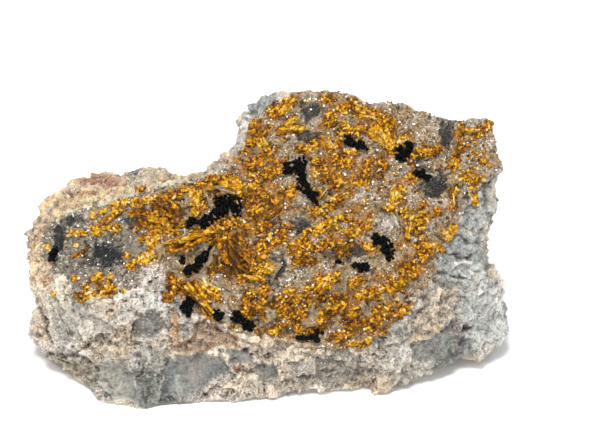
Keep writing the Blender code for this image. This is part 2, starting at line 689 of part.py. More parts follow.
def make_crust(body, surface, settled, parts, cutters):
    """The quartz crust: what the block has over its recess, clear of the rock, with its points fused on."""
    crust = copy_of(body, "quartz_crust", parts)
    zone = block_between(
        "crust_zone", CRUST_OUTLINE, lambda u, v: recess_floor(u, v) + 1.5 * GAP, lambda u, v: 30.0,
        3.0, cutters, grow=-GAP
    )
    boolean(crust, as_helper(zone), "INTERSECT")
    bm = evaluated(crust)
    keep_largest(bm)
    bmesh.ops.triangulate(bm, faces=bm.faces)
    crust.modifiers.clear()
    bm.to_mesh(crust.data)
    bm.free()
    boolean(crust, quartz_points(surface, settled, cutters), "UNION")
    return apply_modifiers(crust)


def stand_on_base(parts):
    """Turns the display plane to its lean, in metres, with the origin under the middle of the block."""
    lean = Matrix.Rotation(FACE_LEAN, 4, "X") @ Matrix.Scale(MM, 4)
    for obj in parts.objects:
        obj.data.transform(lean)
    corners = [obj.data.vertices[i].co for obj in parts.objects for i in range(len(obj.data.vertices))]
    low = Vector([min(c[axis] for c in corners) for axis in range(3)])
    high = Vector([max(c[axis] for c in corners) for axis in range(3)])
    shift = Matrix.Translation((-(low.x + high.x) / 2, -(low.y + high.y) / 2, -low.z))
    for obj in parts.objects:
        obj.data.transform(shift)
        obj.data.update()


def main():
    clear_scene()
    parts = new_collection(SPECIMEN)
    cutters = new_collection(CUTTERS)
    finishes = {name: material(name) for name in COLOURS}
    body = make_body(cutters)
    surface = tree_of(body)
    settled = []
    for seed, cluster in enumerate(CLUSTERS):
        made = make_cluster(cluster, 100 + seed, surface, body, settled, parts, cutters)
        made.data.materials.append(finishes["black_oxide"])
        settled.append(made)
    clusters = list(settled)
    sprays = [make_spray(spray, seed, surface, parts) for seed, spray in enumerate(SPRAYS)]
    for spray in grow_together(sprays):
        settle(spray, body, clusters, cutters)
        spray.data.materials.clear()
        spray.data.materials.append(finishes["uranophane"])
        settled.append(spray)
    rock = make_rock(body, parts, cutters)
    rock.data.materials.append(finishes["matrix_rock"])
    crust = make_crust(body, surface, settled, parts, cutters)
    crust.data.materials.append(finishes["quartz"])
    stand_on_base(parts)


main()
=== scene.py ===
"""Uranophane on drusy quartz: the specimen's stone, fine crystals and finishes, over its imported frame."""

import math
import random

import bpy
import numpy as np
from bpy.props import FloatProperty, FloatVectorProperty, IntProperty, PointerProperty
from mathutils import Matrix, Vector, noise
from mathutils.bvhtree import BVHTree


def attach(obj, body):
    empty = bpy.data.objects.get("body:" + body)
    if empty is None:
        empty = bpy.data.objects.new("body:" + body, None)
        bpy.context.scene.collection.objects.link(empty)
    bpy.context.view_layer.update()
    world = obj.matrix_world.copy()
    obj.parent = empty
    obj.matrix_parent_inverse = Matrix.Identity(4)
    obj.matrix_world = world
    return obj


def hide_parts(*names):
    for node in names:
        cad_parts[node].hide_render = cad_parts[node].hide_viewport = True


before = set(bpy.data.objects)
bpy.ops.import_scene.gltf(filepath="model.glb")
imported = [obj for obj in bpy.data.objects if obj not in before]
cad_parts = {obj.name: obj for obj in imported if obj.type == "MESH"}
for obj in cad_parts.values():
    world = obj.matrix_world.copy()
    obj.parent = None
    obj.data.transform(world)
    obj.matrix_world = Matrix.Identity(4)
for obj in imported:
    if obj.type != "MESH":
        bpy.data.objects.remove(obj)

bl_info = {
    "name": "Uranophane Specimen",
    "version": (1, 0, 0),
    "blender": (4, 5, 0),
    "location": "3D View > Sidebar > Specimen",
    "description": "Dresses a hand specimen of uranophane and drusy quartz with its fine crystals and stone",
    "category": "Object",
}

MM = 0.001
BODY = "root"

# The display face leans back: u runs right, v up along the face and w out of it, in millimetres.
FACE_LEAN = math.radians(60)
FACE_CORNER = Vector((0.055, -20.875, 0.0)) * MM
U_AXIS = Vector((1.0, 0.0, 0.0))
V_AXIS = Vector((0.0, math.cos(FACE_LEAN), math.sin(FACE_LEAN)))
W_AXIS = Vector((0.0, -math.sin(FACE_LEAN), math.cos(FACE_LEAN)))
FACE_AXES = np.array([U_AXIS, V_AXIS, W_AXIS])
CLEAR_OF_FACE = 60.0  # a ray that finds the surface starts this far out
PARTED_AT = 4.0  # the u that parts a piece too full for one mesh into a left and a right one
CRYSTAL_FIELD = ((-18.0, 40.0), (12.0, 56.0))  # u and v of the stray uranophane
POINT_FIELD = ((-40.0, 42.0), (12.0, 57.0))  # u and v of the quartz points on the uranophane

WEIGHT_STEPS = 20
WELD = 0.001 * MM  # corners of a frame node that are nearer than this are one
CRUST_BED = 0.4 * MM  # size of the crust's faces while its edge is set
ROOT_FACES, OXIDE_FACES = 0.34 * MM, 0.3 * MM  # size of the faces of the sheaves' roots and of the oxide
FOOT_RISE = (0.1 * MM, 1.2 * MM)  # the stone's relief sets in between these heights over its flat base
UNDER_CRUST = 0.2  # rock that finds the crust from this far out is covered, in millimetres
NEEDLE_WIDTH, NEEDLE_LIFT, NEEDLE_GLINT_TINT = 0.34 * MM, 1.0 * MM, 2.4  # of the single needles, whose pale cream is partly a painted glint
STEEP = 0.6  # no blade is laid where its bed climbs out of the face by more than this share of its run
ON_DRUSE = 1  # the druse's place in the surface that the crystals grow on, after the stone
POINT_SINK = 0.9  # how deep a quartz point stands in its bed, in shares of its radius
BRIGHT_LIFT = 0.1  # of a painted glint point over its bed, in millimetres

FRACTAL = (0.8, 2.1)  # roughness of the noise, and how much finer each octave is
FLECK_PATCH = 3.0  # size of the patches that the stray crystals keep to, in millimetres
ANY_ROLL = 6.3  # a crystal's roll is drawn from 0 to this, about one full turn
BUNDLES = 6  # of blades in a fan
GAP_SIZE, GAP_LEVEL = 1.9, -0.1  # noise that leaves the druse bare between the crystals
SHEAF_SEED, OXIDE_SEED, FLECK_SEED, POINT_SEED, BRIGHT_SEED = 100, 300, 7, 11, 12

KEY_OFFSET, KEY_SIZE = (-0.08, -0.34, 0.74), 0.3
FILL_OFFSET, FILL_SIZE, FILL_SHARE = (0.25, -0.75, 0.3), 0.5, 0.3
SPARK_SIZE = 0.014
LIT_PLACE = (6.0, 32.0)  # u and v that the lights are aimed at
SEEN_PLACE = (6.05, 33.82)  # u and v in the middle of the view
SENSOR = 36.0


def tone(red, green, blue):
    """A colour in the renderer's linear values from its 0 to 255 display values."""
    levels = [value / 255 for value in (red, green, blue)]
    return tuple(v / 12.92 if v <= 0.04045 else ((v + 0.055) / 1.055) ** 2.4 for v in levels)


# Stone tones of the matrix.
STONE = {
    "tan": tone(252, 216, 170),
    "pale_tan": tone(252, 234, 208),
    "cream": tone(252, 238, 216),
    "red_brown": tone(196, 140, 108),
    "scar": tone(190, 154, 122),
    "pink_white": tone(255, 243, 230),
    "grey_white": tone(198, 192, 180),
    "grey_tan": tone(228, 210, 184),
    "band": tone(234, 218, 194),
    "grey_green": tone(132, 134, 128),
    "olive": tone(168, 160, 138),
    "dark_grey": tone(172, 162, 148),
    "blue_grey": tone(112, 115, 113),
    "glassy": tone(164, 168, 164),
    "bulge": tone(202, 205, 200),
    "white": tone(240, 238, 232),
    "rust": tone(150, 92, 58),
    "orange": tone(226, 176, 130),
    "dark": tone(70, 54, 42),
}
GLASSY = ("glassy", "bulge")  # patches without much grain
FINE = ("tan", "pale_tan", "pink_white")  # patches that break in small steps

# Tones of single grains, specks and stains, and of the painted shade in the uranophane's holes.
GRAIN = {
    "warm": tone(206, 166, 138),
    "pale": tone(248, 242, 230),
    "speck": tone(96, 72, 52),
    "dark": tone(40, 30, 20),
    "olive": tone(140, 106, 6),
    "hollow": tone(40, 20, 4),
    "blue_black": tone(20, 24, 27),
    "left_druse": tone(124, 117, 103),
    "warm_druse": tone(128, 96, 36),
    "bare_druse": (0.27, 0.205, 0.12),
}

# Patches of the matrix on the display side: u, v, half length, half width, turn, tone.
STONE_PATCHES = (
    (-33.0, 37.4, 9.5, 3.8, 14, "tan"),
    (-36.6, 39.6, 1.6, 1.2, 0, "grey_tan"),
    (-31.4, 41.0, 4.8, 1.1, -4, "red_brown"),
    (-21.0, 41.6, 4.6, 2.0, 0, "grey_tan"),
    (-15.0, 41.0, 8.0, 1.4, 14, "tan"),
    (-8.6, 45.0, 4.4, 3.2, 50, "grey_tan"),
    (-6.2, 43.6, 1.8, 1.0, 30, "orange"),
    (-4.0, 50.0, 3.4, 1.6, 62, "pink_white"),
    (-1.6, 54.4, 2.6, 2.6, 0, "glassy"),
    (-41.6, 28.0, 7.0, 3.0, 84, "tan"),
    (-39.0, 20.0, 4.4, 3.6, 30, "pale_tan"),
    (-39.6, 22.6, 1.0, 1.0, 0, "orange"),
    (-22.0, 20.4, 5.4, 4.4, 30, "pink_white"),
    (-28.6, 18.0, 3.0, 1.8, 0, "pale_tan"),
    (-36.4, 11.2, 3.4, 1.0, 0, "pink_white"),
    (-30.0, 11.0, 3.6, 1.6, 0, "grey_tan"),
    (-16.2, 14.4, 0.8, 3.6, 0, "orange"),
    (-14.0, 14.2, 1.4, 1.8, 0, "grey_white"),
    (-21.4, 9.6, 3.0, 1.8, 0, "grey_white"),
    (-3.4, 4.0, 8.0, 1.6, 6, "band"),
    (-5.3, 7.2, 0.8, 0.6, 0, "rust"),
    (-1.0, 8.4, 3.0, 2.0, 0, "grey_tan"),
    (8.0, 10.4, 12.0, 2.2, 4, "band"),
    (12.0, 6.4, 11.0, 2.1, 6, "dark_grey"),
    (21.4, 9.4, 3.0, 3.0, 20, "grey_white"),
    (24.0, 10.4, 0.9, 1.6, 0, "white"),
    (29.6, 16.4, 5.0, 2.6, 30, "grey_tan"),
    (32.4, 20.6, 3.4, 1.7, 20, "grey_tan"),
    (34.4, 26.0, 4.8, 4.4, 60, "glassy"),
    (38.0, 34.0, 2.6, 4.6, -10, "glassy"),
    (39.4, 17.0, 4.2, 7.4, 8, "bulge"),
)

# Chips that left one broken face: tone, depth, how granular, then the outline.
CHIPS = (
    ("grey_white", 0.3, 0.6, (
        (-40.4, 18.2), (-35.0, 18.2), (-29.0, 16.2), (-26.4, 14.2), (-32.2, 12.8), (-38.4, 12.4),
    )),
    ("grey_green", 0.8, 0.5, (
        (-24.2, 13.4), (-22.6, 16.2), (-21.2, 17.5), (-19.6, 17.2), (-18.0, 14.2), (-19.4, 12.6),
    )),
    ("blue_grey", 0.4, 0.1, (
        (-16.8, 9.2), (-11.4, 10.3), (-7.6, 9.7), (-6.2, 7.6), (-10.0, 4.6), (-16.0, 1.4), (-19.2, 3.0),
        (-18.8, 7.0),
    )),
    ("blue_grey", 0.6, 0.2, ((-7.0, 10.9), (-2.6, 10.9), (-2.2, 8.2), (-5.8, 8.1))),
    ("blue_grey", 0.5, 0.3, ((-2.0, 7.6), (1.8, 8.4), (2.4, 5.6), (-1.2, 5.0))),
    ("grey_green", 0.5, 0.2, (
        (-30.4, 8.2), (-25.2, 8.8), (-23.4, 4.8), (-22.2, 1.2), (-27.4, 1.4), (-31.0, 5.4),
    )),
    ("blue_grey", 0.5, 0.4, ((-23.0, 5.2), (-20.0, 5.8), (-19.8, 2.0), (-21.8, 1.0))),
    ("scar", 0.7, 1.0, (
        (-12.2, 16.6), (-4.4, 12.9), (-5.2, 11.2), (-10.0, 10.5), (-16.6, 9.7), (-17.2, 10.8),
        (-12.9, 13.2),
    )),
    ("olive", 0.8, 0.8, ((-40.2, 9.4), (-32.0, 8.5), (-29.6, 6.3), (-31.2, 3.6), (-36.0, 5.8))),
    ("grey_green", 0.6, 0.3, (
        (25.2, 11.6), (29.8, 13.1), (33.0, 15.6), (34.6, 12.4), (31.2, 8.4), (26.2, 8.0),
    )),
    ("blue_grey", 0.5, 0.3, ((34.8, 12.2), (37.6, 12.2), (37.2, 9.4), (32.4, 7.4), (31.4, 8.2))),
    ("grey_white", 0.4, 0.5, ((25.6, 8.0), (30.6, 8.2), (29.6, 6.2), (25.6, 5.4))),
)

# Dark seams, cracks and sharp lips of the matrix: width, depth, tone, then the line's points.
SEAMS = (
    (0.6, -0.12, "cream", (
        (-40.2, 31.0), (-36.6, 34.6), (-30.0, 36.2), (-24.0, 38.4), (-17.0, 40.2), (-10.6, 42.4),
    )),
    (0.8, -0.1, "cream", ((-15.6, 20.6), (-13.2, 16.8), (-8.0, 14.4), (-3.6, 12.6))),
    (0.6, -0.2, "pale_tan", ((-38.0, 24.4), (-34.0, 21.0), (-29.6, 18.8), (-24.6, 20.4))),
    (0.28, 0.7, "dark", ((-40.8, 17.6), (-39.6, 14.6), (-38.6, 11.8))),
    (0.5, -0.4, "pink_white", ((-41.2, 11.6), (-38.0, 10.7), (-34.4, 10.4), (-31.6, 9.6))),
    (0.35, 0.8, "dark", ((-39.6, 9.7), (-34.6, 9.5), (-31.8, 8.8), (-29.8, 7.0))),
    (0.28, 0.5, "dark", ((-24.6, 13.0), (-22.8, 16.2), (-21.2, 17.7), (-19.4, 17.4), (-17.8, 14.4))),
    (0.3, 0.3, "grey_white", ((-30.2, 7.2), (-27.6, 4.0), (-25.0, 1.2))),
    (0.4, -0.3, "grey_white", ((-18.9, 10.4), (-18.6, 6.0), (-19.0, 2.6))),
    (0.4, -0.3, "pale_tan", ((-17.0, 9.6), (-11.4, 10.6), (-7.4, 10.9))),
    (0.3, 0.4, "dark", ((-31.0, 12.0), (-27.6, 11.6), (-24.8, 12.4))),
    (0.3, 0.5, "dark_grey", ((-1.6, 10.2), (0.4, 6.4), (-0.4, 2.6))),
    (0.3, 0.4, "dark_grey", ((4.0, 8.2), (10.0, 8.4), (15.0, 7.6), (20.0, 5.8))),
    (0.3, 0.5, "dark_grey", ((19.0, 12.6), (19.6, 9.0), (18.4, 5.6))),
    (0.3, 0.5, "dark", ((30.6, 24.4), (32.6, 23.6), (35.4, 23.4))),
    (0.28, 0.5, "dark", ((30.0, 28.8), (33.0, 27.2), (36.4, 27.0))),
    (0.28, 0.5, "dark_grey", ((33.6, 31.4), (36.0, 29.8), (38.6, 29.6))),
    (0.35, 0.5, "dark", ((25.2, 17.6), (27.0, 17.4), (28.6, 18.4))),
    (0.3, 0.5, "dark_grey", ((33.0, 15.8), (34.6, 12.4), (31.4, 8.2))),
    (0.5, -0.3, "tan", ((25.0, 12.0), (29.8, 13.5), (33.4, 16.2))),
    (0.3, 0.5, "dark", ((35.6, 13.8), (36.6, 13.4), (37.2, 14.4))),
    (0.25, 0.3, "dark_grey", ((31.6, 25.8), (33.6, 25.0), (35.8, 25.4), (38.0, 24.2))),
    (0.25, 0.3, "dark_grey", ((32.0, 21.8), (34.4, 22.2), (36.6, 21.2), (39.0, 21.8))),
    (0.25, 0.3, "dark_grey", ((36.0, 32.6), (37.4, 31.4), (39.4, 31.8))),
    (0.25, 0.3, "dark_grey", ((35.4, 34.6), (37.2, 35.2), (38.6, 37.4))),
    (0.3, 0.4, "dark_grey", ((37.4, 38.2), (38.4, 39.6), (40.4, 40.0))),
    (0.3, -0.2, "white", ((31.4, 27.0), (34.0, 26.0), (37.0, 26.2))),
    (0.3, -0.2, "white", ((33.8, 30.6), (36.4, 28.8), (39.0, 28.6))),
    (0.35, 0.4, "dark_grey", ((-12.4, 41.6), (-9.6, 45.2), (-6.4, 48.2))),
    (0.35, 0.4, "red_brown", ((-37.4, 38.4), (-34.0, 38.8), (-31.0, 38.4))),
)

# Where the matrix swells past its solid or falls short of it: u, v, half length, half width, turn, height.
SWELLS = (
    (-37.4, 40.6, 4.0, 2.4, 40, 1.4),
    (-39.4, 38.6, 3.0, 2.2, 50, 1.3),
    (-43.4, 34.2, 2.6, 2.2, 45, -1.9),
    (-43.4, 29.6, 1.6, 2.4, 0, -0.6),
    (-37.0, 7.4, 7.0, 2.2, -40, -0.8),
    (-31.0, 2.8, 4.0, 1.6, -30, -0.7),
    (41.4, 27.0, 2.2, 7.0, 0, -0.8),
    (-4.0, 53.6, 1.4, 2.6, -20, 0.7),
    (0.0, 57.4, 3.6, 1.0, 0, -0.5),
    (-25.0, 42.6, 3.6, 1.4, 0, -0.5),
    (-15.4, 41.8, 3.0, 1.2, 0, -0.5),
)

# Pits of the matrix: u, v, radius, tone.
PITS = (
    (-20.5, 22.7, 0.45, "dark"),
    (-23.2, 21.7, 0.35, "dark"),
    (-27.8, 17.6, 0.45, "rust"),
    (-27.3, 19.0, 0.35, "rust"),
    (-18.8, 20.4, 0.35, "dark"),
    (-24.8, 19.4, 0.3, "rust"),
    (-17.6, 18.0, 0.35, "dark"),
    (-22.0, 19.0, 0.25, "rust"),
    (-21.0, 21.0, 0.25, "dark"),
    (-35.4, 38.2, 0.3, "dark"),
    (36.4, 14.4, 0.6, "dark"),
    (-2.6, 9.4, 0.3, "dark"),
    (-3.6, 10.2, 0.25, "dark"),
)

# Dark oxide seen through the quartz: u, v, half length, half width, turn, strength.
SHADOWED = (
    (-37.4, 30.8, 3.4, 1.1, 84, 0.9),
    (-35.2, 33.6, 2.2, 0.9, 10, 0.8),
    (-38.0, 28.0, 0.9, 0.8, 0, 1.0),
    (-28.4, 27.8, 2.9, 1.9, -10, 0.95),
    (-23.6, 34.0, 1.9, 0.9, 20, 0.8),
    (-31.4, 26.4, 1.8, 0.9, 0, 0.5),
    (7.8, 53.4, 2.5, 1.5, 10, 0.75),
    (7.6, 48.8, 2.8, 0.8, 8, 0.65),
    (30.4, 40.0, 2.6, 1.9, 10, 0.9),
    (32.4, 49.4, 1.3, 2.7, 0, 0.8),
    (6.0, 32.6, 1.6, 1.8, 0, 0.75),
    (1.8, 24.8, 1.6, 2.8, 0, 0.8),
    (0.8, 33.0, 1.2, 2.2, 10, 0.55),
    (15.6, 28.6, 1.8, 1.3, 0, 0.8),
    (36.0, 37.8, 0.7, 0.6, 0, 0.8),
    (-12.0, 19.4, 1.8, 1.6, 40, 0.6),
    (-8.0, 25.0, 1.4, 0.8, 40, 0.5),
    (3.0, 14.2, 2.2, 0.8, 0, 0.4),
    (12.8, 27.6, 2.4, 1.5, 0, 0.5),
    (28.6, 43.2, 2.2, 1.0, -20, 0.45),
    (-10.4, 27.0, 2.6, 1.6, 50, 0.3),
)

# Whitish lumps of the druse: u, v, half length, half width, turn, strength.
MILKY = (
    (24.0, 40.5, 2.2, 1.5, 20, 0.7),
    (18.0, 38.0, 1.8, 1.2, 0, 0.55),
    (22.5, 33.5, 2.2, 1.4, 30, 0.65),
    (13.0, 34.0, 1.6, 1.2, 0, 0.5),
    (-20.4, 24.6, 2.4, 1.8, 40, 0.8),
    (-31.0, 20.4, 6.0, 1.2, 12, 0.7),
    (-1.6, 50.6, 1.6, 3.4, 0, 0.5),
    (-17.6, 30.4, 1.6, 1.0, 0, 0.4),
    (30.8, 36.6, 2.4, 1.2, 0, 0.45),
    (-32.0, 34.8, 4.6, 0.8, 8, 0.6),
)

# Uranophane along strokes: start u, v, end u, v, width, shade from deep orange to yellow, and
# the share that runs along the stroke.
GOLD = (
    (-28.2, 36.2, -25.0, 37.2, 1.0, 0.80, 0.0),
    (-24.6, 36.8, -19.4, 37.6, 1.2, 0.70, 0.0),
    (-28.6, 33.6, -25.8, 36.4, 1.2, 0.45, 1.0),
    (-24.0, 31.8, -19.0, 35.6, 1.6, 0.22, 1.0),
    (-21.4, 31.8, -16.6, 34.6, 1.5, 0.30, 0.8),
    (-19.0, 33.0, -16.0, 31.4, 1.2, 0.35, 1.0),
    (-17.4, 38.2, -13.6, 38.8, 1.0, 0.50, 0.3),
    (-12.6, 35.0, -12.2, 38.0, 0.9, 0.50, 1.0),
    (-10.2, 39.3, -5.0, 40.4, 1.4, 0.50, 0.3),
    (-4.2, 37.2, -0.4, 39.8, 2.2, 0.12, 0.3),
    (-18.6, 28.2, -14.2, 29.8, 1.2, 0.60, 1.0),
    (-14.6, 29.4, -10.0, 31.8, 1.5, 0.60, 1.0),
    (-9.0, 32.0, -6.2, 26.4, 1.8, 0.08, 1.0),
    (-7.0, 32.0, -3.6, 27.4, 1.6, 0.08, 1.0),
    (-22.2, 26.4, -19.4, 28.6, 2.0, 0.65, 0.0),
    (-20.6, 28.8, -18.2, 31.2, 1.8, 0.55, 0.0),
    (-17.6, 21.4, -14.2, 24.2, 2.2, 0.22, 0.2),
    (-12.8, 21.9, -9.8, 16.8, 1.2, 0.32, 1.0),
    (-11.0, 22.0, -8.6, 20.2, 1.3, 0.80, 0.5),
    (-9.8, 24.4, -9.2, 24.8, 0.9, 0.50, 0.0),
    (-6.8, 24.0, -6.2, 27.8, 1.2, 0.35, 0.5),
    (-4.4, 23.2, -0.2, 24.8, 1.5, 0.55, 0.3),
    (-4.0, 16.6, -0.2, 20.8, 2.2, 0.30, 0.4),
    (1.0, 52.8, 4.4, 55.0, 1.9, 0.40, 0.8),
    (-2.0, 47.2, 0.4, 50.8, 1.6, 0.50, 0.2),
    (0.0, 46.0, 0.8, 46.0, 1.0, 0.50, 0.0),
    (3.0, 50.0, 6.0, 50.2, 1.0, 0.45, 0.4),
    (10.0, 55.6, 12.0, 55.6, 1.0, 0.15, 0.0),
    (14.0, 53.2, 15.6, 55.2, 1.6, 0.30, 0.0),
    (10.5, 51.0, 12.4, 51.2, 1.4, 0.30, 0.0),
    (16.5, 53.4, 21.6, 51.2, 2.2, 0.50, 0.2),
    (20.2, 51.0, 22.4, 46.2, 2.0, 0.45, 0.2),
    (22.6, 46.0, 25.6, 49.2, 1.1, 0.70, 1.0),
    (6.0, 46.4, 10.4, 47.4, 1.4, 0.40, 0.3),
    (14.0, 45.8, 16.0, 46.0, 0.9, 0.60, 0.0),
    (8.6, 42.0, 11.0, 42.4, 1.6, 0.55, 0.0),
    (11.0, 43.6, 12.6, 45.2, 1.2, 0.30, 0.0),
    (-3.0, 38.6, 2.6, 43.4, 2.2, 0.35, 0.2),
    (-1.6, 41.6, 1.4, 39.8, 2.0, 0.40, 0.2),
    (12.0, 36.6, 15.0, 38.8, 1.8, 0.45, 0.2),
    (16.6, 42.6, 18.6, 44.2, 1.4, 0.35, 0.2),
    (21.8, 36.4, 24.0, 39.4, 1.6, 0.60, 0.2),
    (20.5, 42.2, 20.7, 45.0, 1.5, 0.35, 0.4),
    (26.0, 45.4, 31.4, 46.8, 1.4, 0.25, 0.2),
    (33.4, 43.4, 35.4, 47.8, 1.2, 0.30, 0.4),
    (35.4, 41.6, 37.6, 40.6, 0.9, 0.50, 0.5),
    (33.2, 35.6, 33.4, 39.0, 0.4, 0.40, 1.0),
    (37.5, 37.0, 37.6, 38.0, 0.7, 0.55, 1.0),
    (39.0, 44.0, 39.2, 44.4, 0.9, 0.60, 0.0),
    (40.2, 50.6, 40.3, 51.2, 0.9, 0.50, 0.0),
    (34.6, 49.4, 35.0, 49.8, 0.9, 0.60, 0.0),
    (25.0, 35.0, 27.0, 35.2, 1.2, 0.60, 0.0),
    (27.0, 32.2, 29.0, 34.4, 1.5, 0.50, 0.0),
    (28.0, 36.2, 28.6, 36.6, 0.9, 0.50, 0.0),
    (30.2, 35.2, 30.8, 35.4, 0.9, 0.40, 0.0),
    (31.4, 29.4, 33.4, 32.4, 1.6, 0.80, 0.1),
    (25.2, 31.6, 25.8, 33.6, 0.5, 0.95, 1.0),
    (-3.0, 25.6, 0.0, 28.8, 2.0, 0.40, 0.2),
    (5.0, 28.2, 7.0, 29.8, 1.6, 0.40, 0.2),
    (0.2, 16.6, 4.6, 20.8, 2.0, 0.32, 0.8),
    (4.8, 15.2, 9.6, 19.6, 2.4, 0.30, 0.3),
    (9.4, 16.4, 13.8, 19.6, 2.0, 0.35, 0.3),
    (8.0, 20.8, 12.4, 23.8, 1.7, 0.55, 0.6),
    (12.6, 12.8, 17.8, 15.6, 1.9, 0.25, 0.2),
    (17.2, 14.6, 22.0, 18.0, 2.2, 0.30, 0.2),
    (17.8, 12.2, 18.6, 12.4, 0.9, 0.95, 0.0),
    (20.2, 21.4, 22.0, 21.6, 1.0, 0.50, 0.0),
    (22.6, 21.4, 27.0, 24.8, 2.0, 0.35, 0.2),
    (25.2, 23.8, 28.8, 29.6, 2.1, 0.40, 0.2),
    (18.2, 28.5, 20.0, 28.6, 1.2, 0.40, 0.0),
    (12.2, 30.0, 14.0, 30.0, 1.3, 0.40, 0.0),
    (14.6, 21.8, 17.0, 23.2, 1.5, 0.30, 0.2),
    (2.0, 29.6, 3.4, 30.4, 1.2, 0.40, 0.0),
    (9.4, 31.6, 11.2, 33.0, 1.2, 0.35, 0.2),
    (16.4, 33.0, 18.6, 34.6, 1.3, 0.40, 0.0),
    (-40.0, 28.6, -39.2, 28.8, 0.7, 0.95, 0.0),
    (-34.8, 31.3, -34.2, 31.4, 0.8, 0.75, 1.0),
    (-34.2, 29.0, -33.8, 29.2, 0.6, 0.95, 0.0),
    (-31.4, 34.2, -31.0, 34.4, 0.9, 0.80, 0.0),
    (-33.4, 31.2, -32.4, 31.2, 0.8, 0.50, 1.0),
    (-30.4, 31.1, -29.6, 31.5, 1.1, 0.50, 0.0),
    (-27.2, 31.5, -26.8, 31.7, 0.8, 0.75, 0.0),
    (-34.0, 27.2, -32.4, 28.2, 0.7, 0.35, 1.0),
    (-25.2, 27.2, -24.4, 27.6, 0.8, 0.55, 0.0),
    (-34.4, 23.2, -33.6, 23.4, 0.9, 0.50, 0.0),
    (-32.4, 21.6, -31.6, 22.0, 0.9, 0.45, 0.0),
    (-28.4, 23.2, -27.6, 23.4, 0.8, 0.50, 0.0),
    (-29.2, 20.8, -27.2, 21.6, 1.0, 0.55, 1.0),
    (-33.6, 19.2, -32.8, 19.4, 0.8, 0.35, 0.0),
    (-38.4, 20.2, -38.0, 20.4, 0.7, 0.45, 0.0),
    (-25.6, 20.6, -25.2, 21.0, 0.5, 0.60, 0.0),
    (11.0, 52.0, 13.0, 54.0, 1.5, 0.35, 0.0),
    (14.0, 49.5, 18.0, 50.5, 1.6, 0.30, 0.2),
    (-3.4, 46.0, -1.6, 50.6, 1.6, 0.50, 0.2),
    (11.0, 46.4, 13.2, 47.6, 1.4, 0.40, 0.1),
    (-3.6, 43.0, 0.6, 45.2, 1.8, 0.40, 0.2),
    (11.4, 43.0, 15.6, 44.6, 1.6, 0.40, 0.1),
    (-12.4, 40.0, -6.0, 41.2, 1.2, 0.35, 0.2),
    (12.0, 40.4, 15.4, 41.6, 1.6, 0.45, 0.1),
    (-1.0, 37.4, 5.0, 38.6, 1.6, 0.20, 0.3),
    (-1.6, 34.0, 3.4, 36.4, 2.0, 0.10, 0.6),
    (8.2, 34.6, 10.0, 35.6, 1.4, 0.40, 0.1),
    (14.0, 34.4, 16.4, 35.8, 1.4, 0.40, 0.1),
    (-8.6, 33.6, -3.0, 32.4, 1.6, 0.15, 0.5),
    (8.4, 31.4, 12.6, 33.0, 1.6, 0.40, 0.1),
    (-3.6, 28.2, 1.2, 30.0, 1.8, 0.35, 0.2),
    (8.6, 28.4, 12.4, 29.8, 1.6, 0.40, 0.1),
    (17.4, 29.4, 18.8, 28.4, 1.4, 0.40, 0.1),
    (20.0, 23.8, 22.4, 22.6, 1.6, 0.40, 0.1),
    (14.4, 19.0, 19.0, 20.6, 1.8, 0.30, 0.1),
    (14.2, 16.2, 16.2, 17.6, 1.8, 0.25, 0.1),
    (23.2, 16.6, 25.0, 18.0, 1.4, 0.40, 0.1),
    (5.4, 13.6, 10.2, 14.6, 1.2, 0.35, 0.1),
    (20.0, 13.4, 22.4, 14.6, 1.4, 0.35, 0.1),
    (14.4, 11.4, 18.6, 11.8, 0.8, 0.40, 0.0),
    (-31.6, 34.6, -28.8, 35.4, 1.2, 0.55, 0.1),
    (-31.4, 31.8, -26.4, 32.4, 1.2, 0.55, 0.1),
    (-24.6, 34.6, -19.6, 35.8, 1.4, 0.40, 0.3),
    (-22.4, 29.6, -19.8, 32.0, 1.4, 0.45, 0.2),
    (-24.8, 25.4, -20.4, 26.8, 1.4, 0.55, 0.0),
    (-31.0, 22.8, -29.2, 23.8, 1.0, 0.50, 0.0),
    (-34.4, 20.0, -26.6, 20.8, 1.4, 0.45, 0.2),
    (-19.0, 19.6, -14.8, 21.0, 1.6, 0.30, 0.1),
    (-3.6, 49.4, -1.6, 51.2, 1.2, 0.50, 0.1),
    (2.4, 49.6, 4.4, 50.8, 1.4, 0.45, 0.1),
    (14.6, 40.4, 19.2, 41.6, 1.8, 0.40, 0.1),
    (23.4, 40.4, 27.6, 41.6, 1.4, 0.45, 0.1),
    (38.2, 49.4, 40.0, 51.0, 0.9, 0.50, 0.0),
    (9.0, 37.6, 10.0, 38.6, 1.0, 0.40, 0.0),
    (-12.6, 34.4, -11.2, 36.2, 1.2, 0.40, 0.2),
    (-3.8, 34.2, -2.2, 36.2, 1.6, 0.20, 0.3),
    (29.2, 34.4, 31.0, 35.6, 1.2, 0.40, 0.1),
    (-3.8, 31.4, 1.2, 32.8, 1.8, 0.30, 0.2),
    (2.2, 31.6, 4.0, 32.4, 1.0, 0.40, 0.1),
    (14.4, 31.2, 18.6, 32.8, 1.6, 0.30, 0.2),
    (23.4, 25.4, 24.8, 26.6, 1.2, 0.40, 0.1),
    (8.2, 22.4, 10.0, 23.6, 1.2, 0.40, 0.1),
    (-3.8, 19.4, -2.2, 20.8, 1.2, 0.35, 0.2),
    (5.2, 19.6, 6.8, 20.6, 1.2, 0.40, 0.1),
    (2.0, 16.4, 4.0, 17.8, 1.4, 0.35, 0.2),
    (-0.8, 13.6, 4.2, 14.4, 1.2, 0.35, 0.1),
    (12.4, 27.6, 16.6, 29.4, 1.6, -0.10, 0.0),
    (-24.0, 39.0, -22.0, 39.2, 0.6, 0.30, 0.0),
    (8.6, 43.8, 10.4, 44.8, 1.4, 0.35, 0.1),
    (5.0, 26.4, 8.6, 26.2, 1.2, 0.30, 0.1),
    (23.2, 28.6, 25.0, 29.8, 1.2, 0.40, 0.1),
)
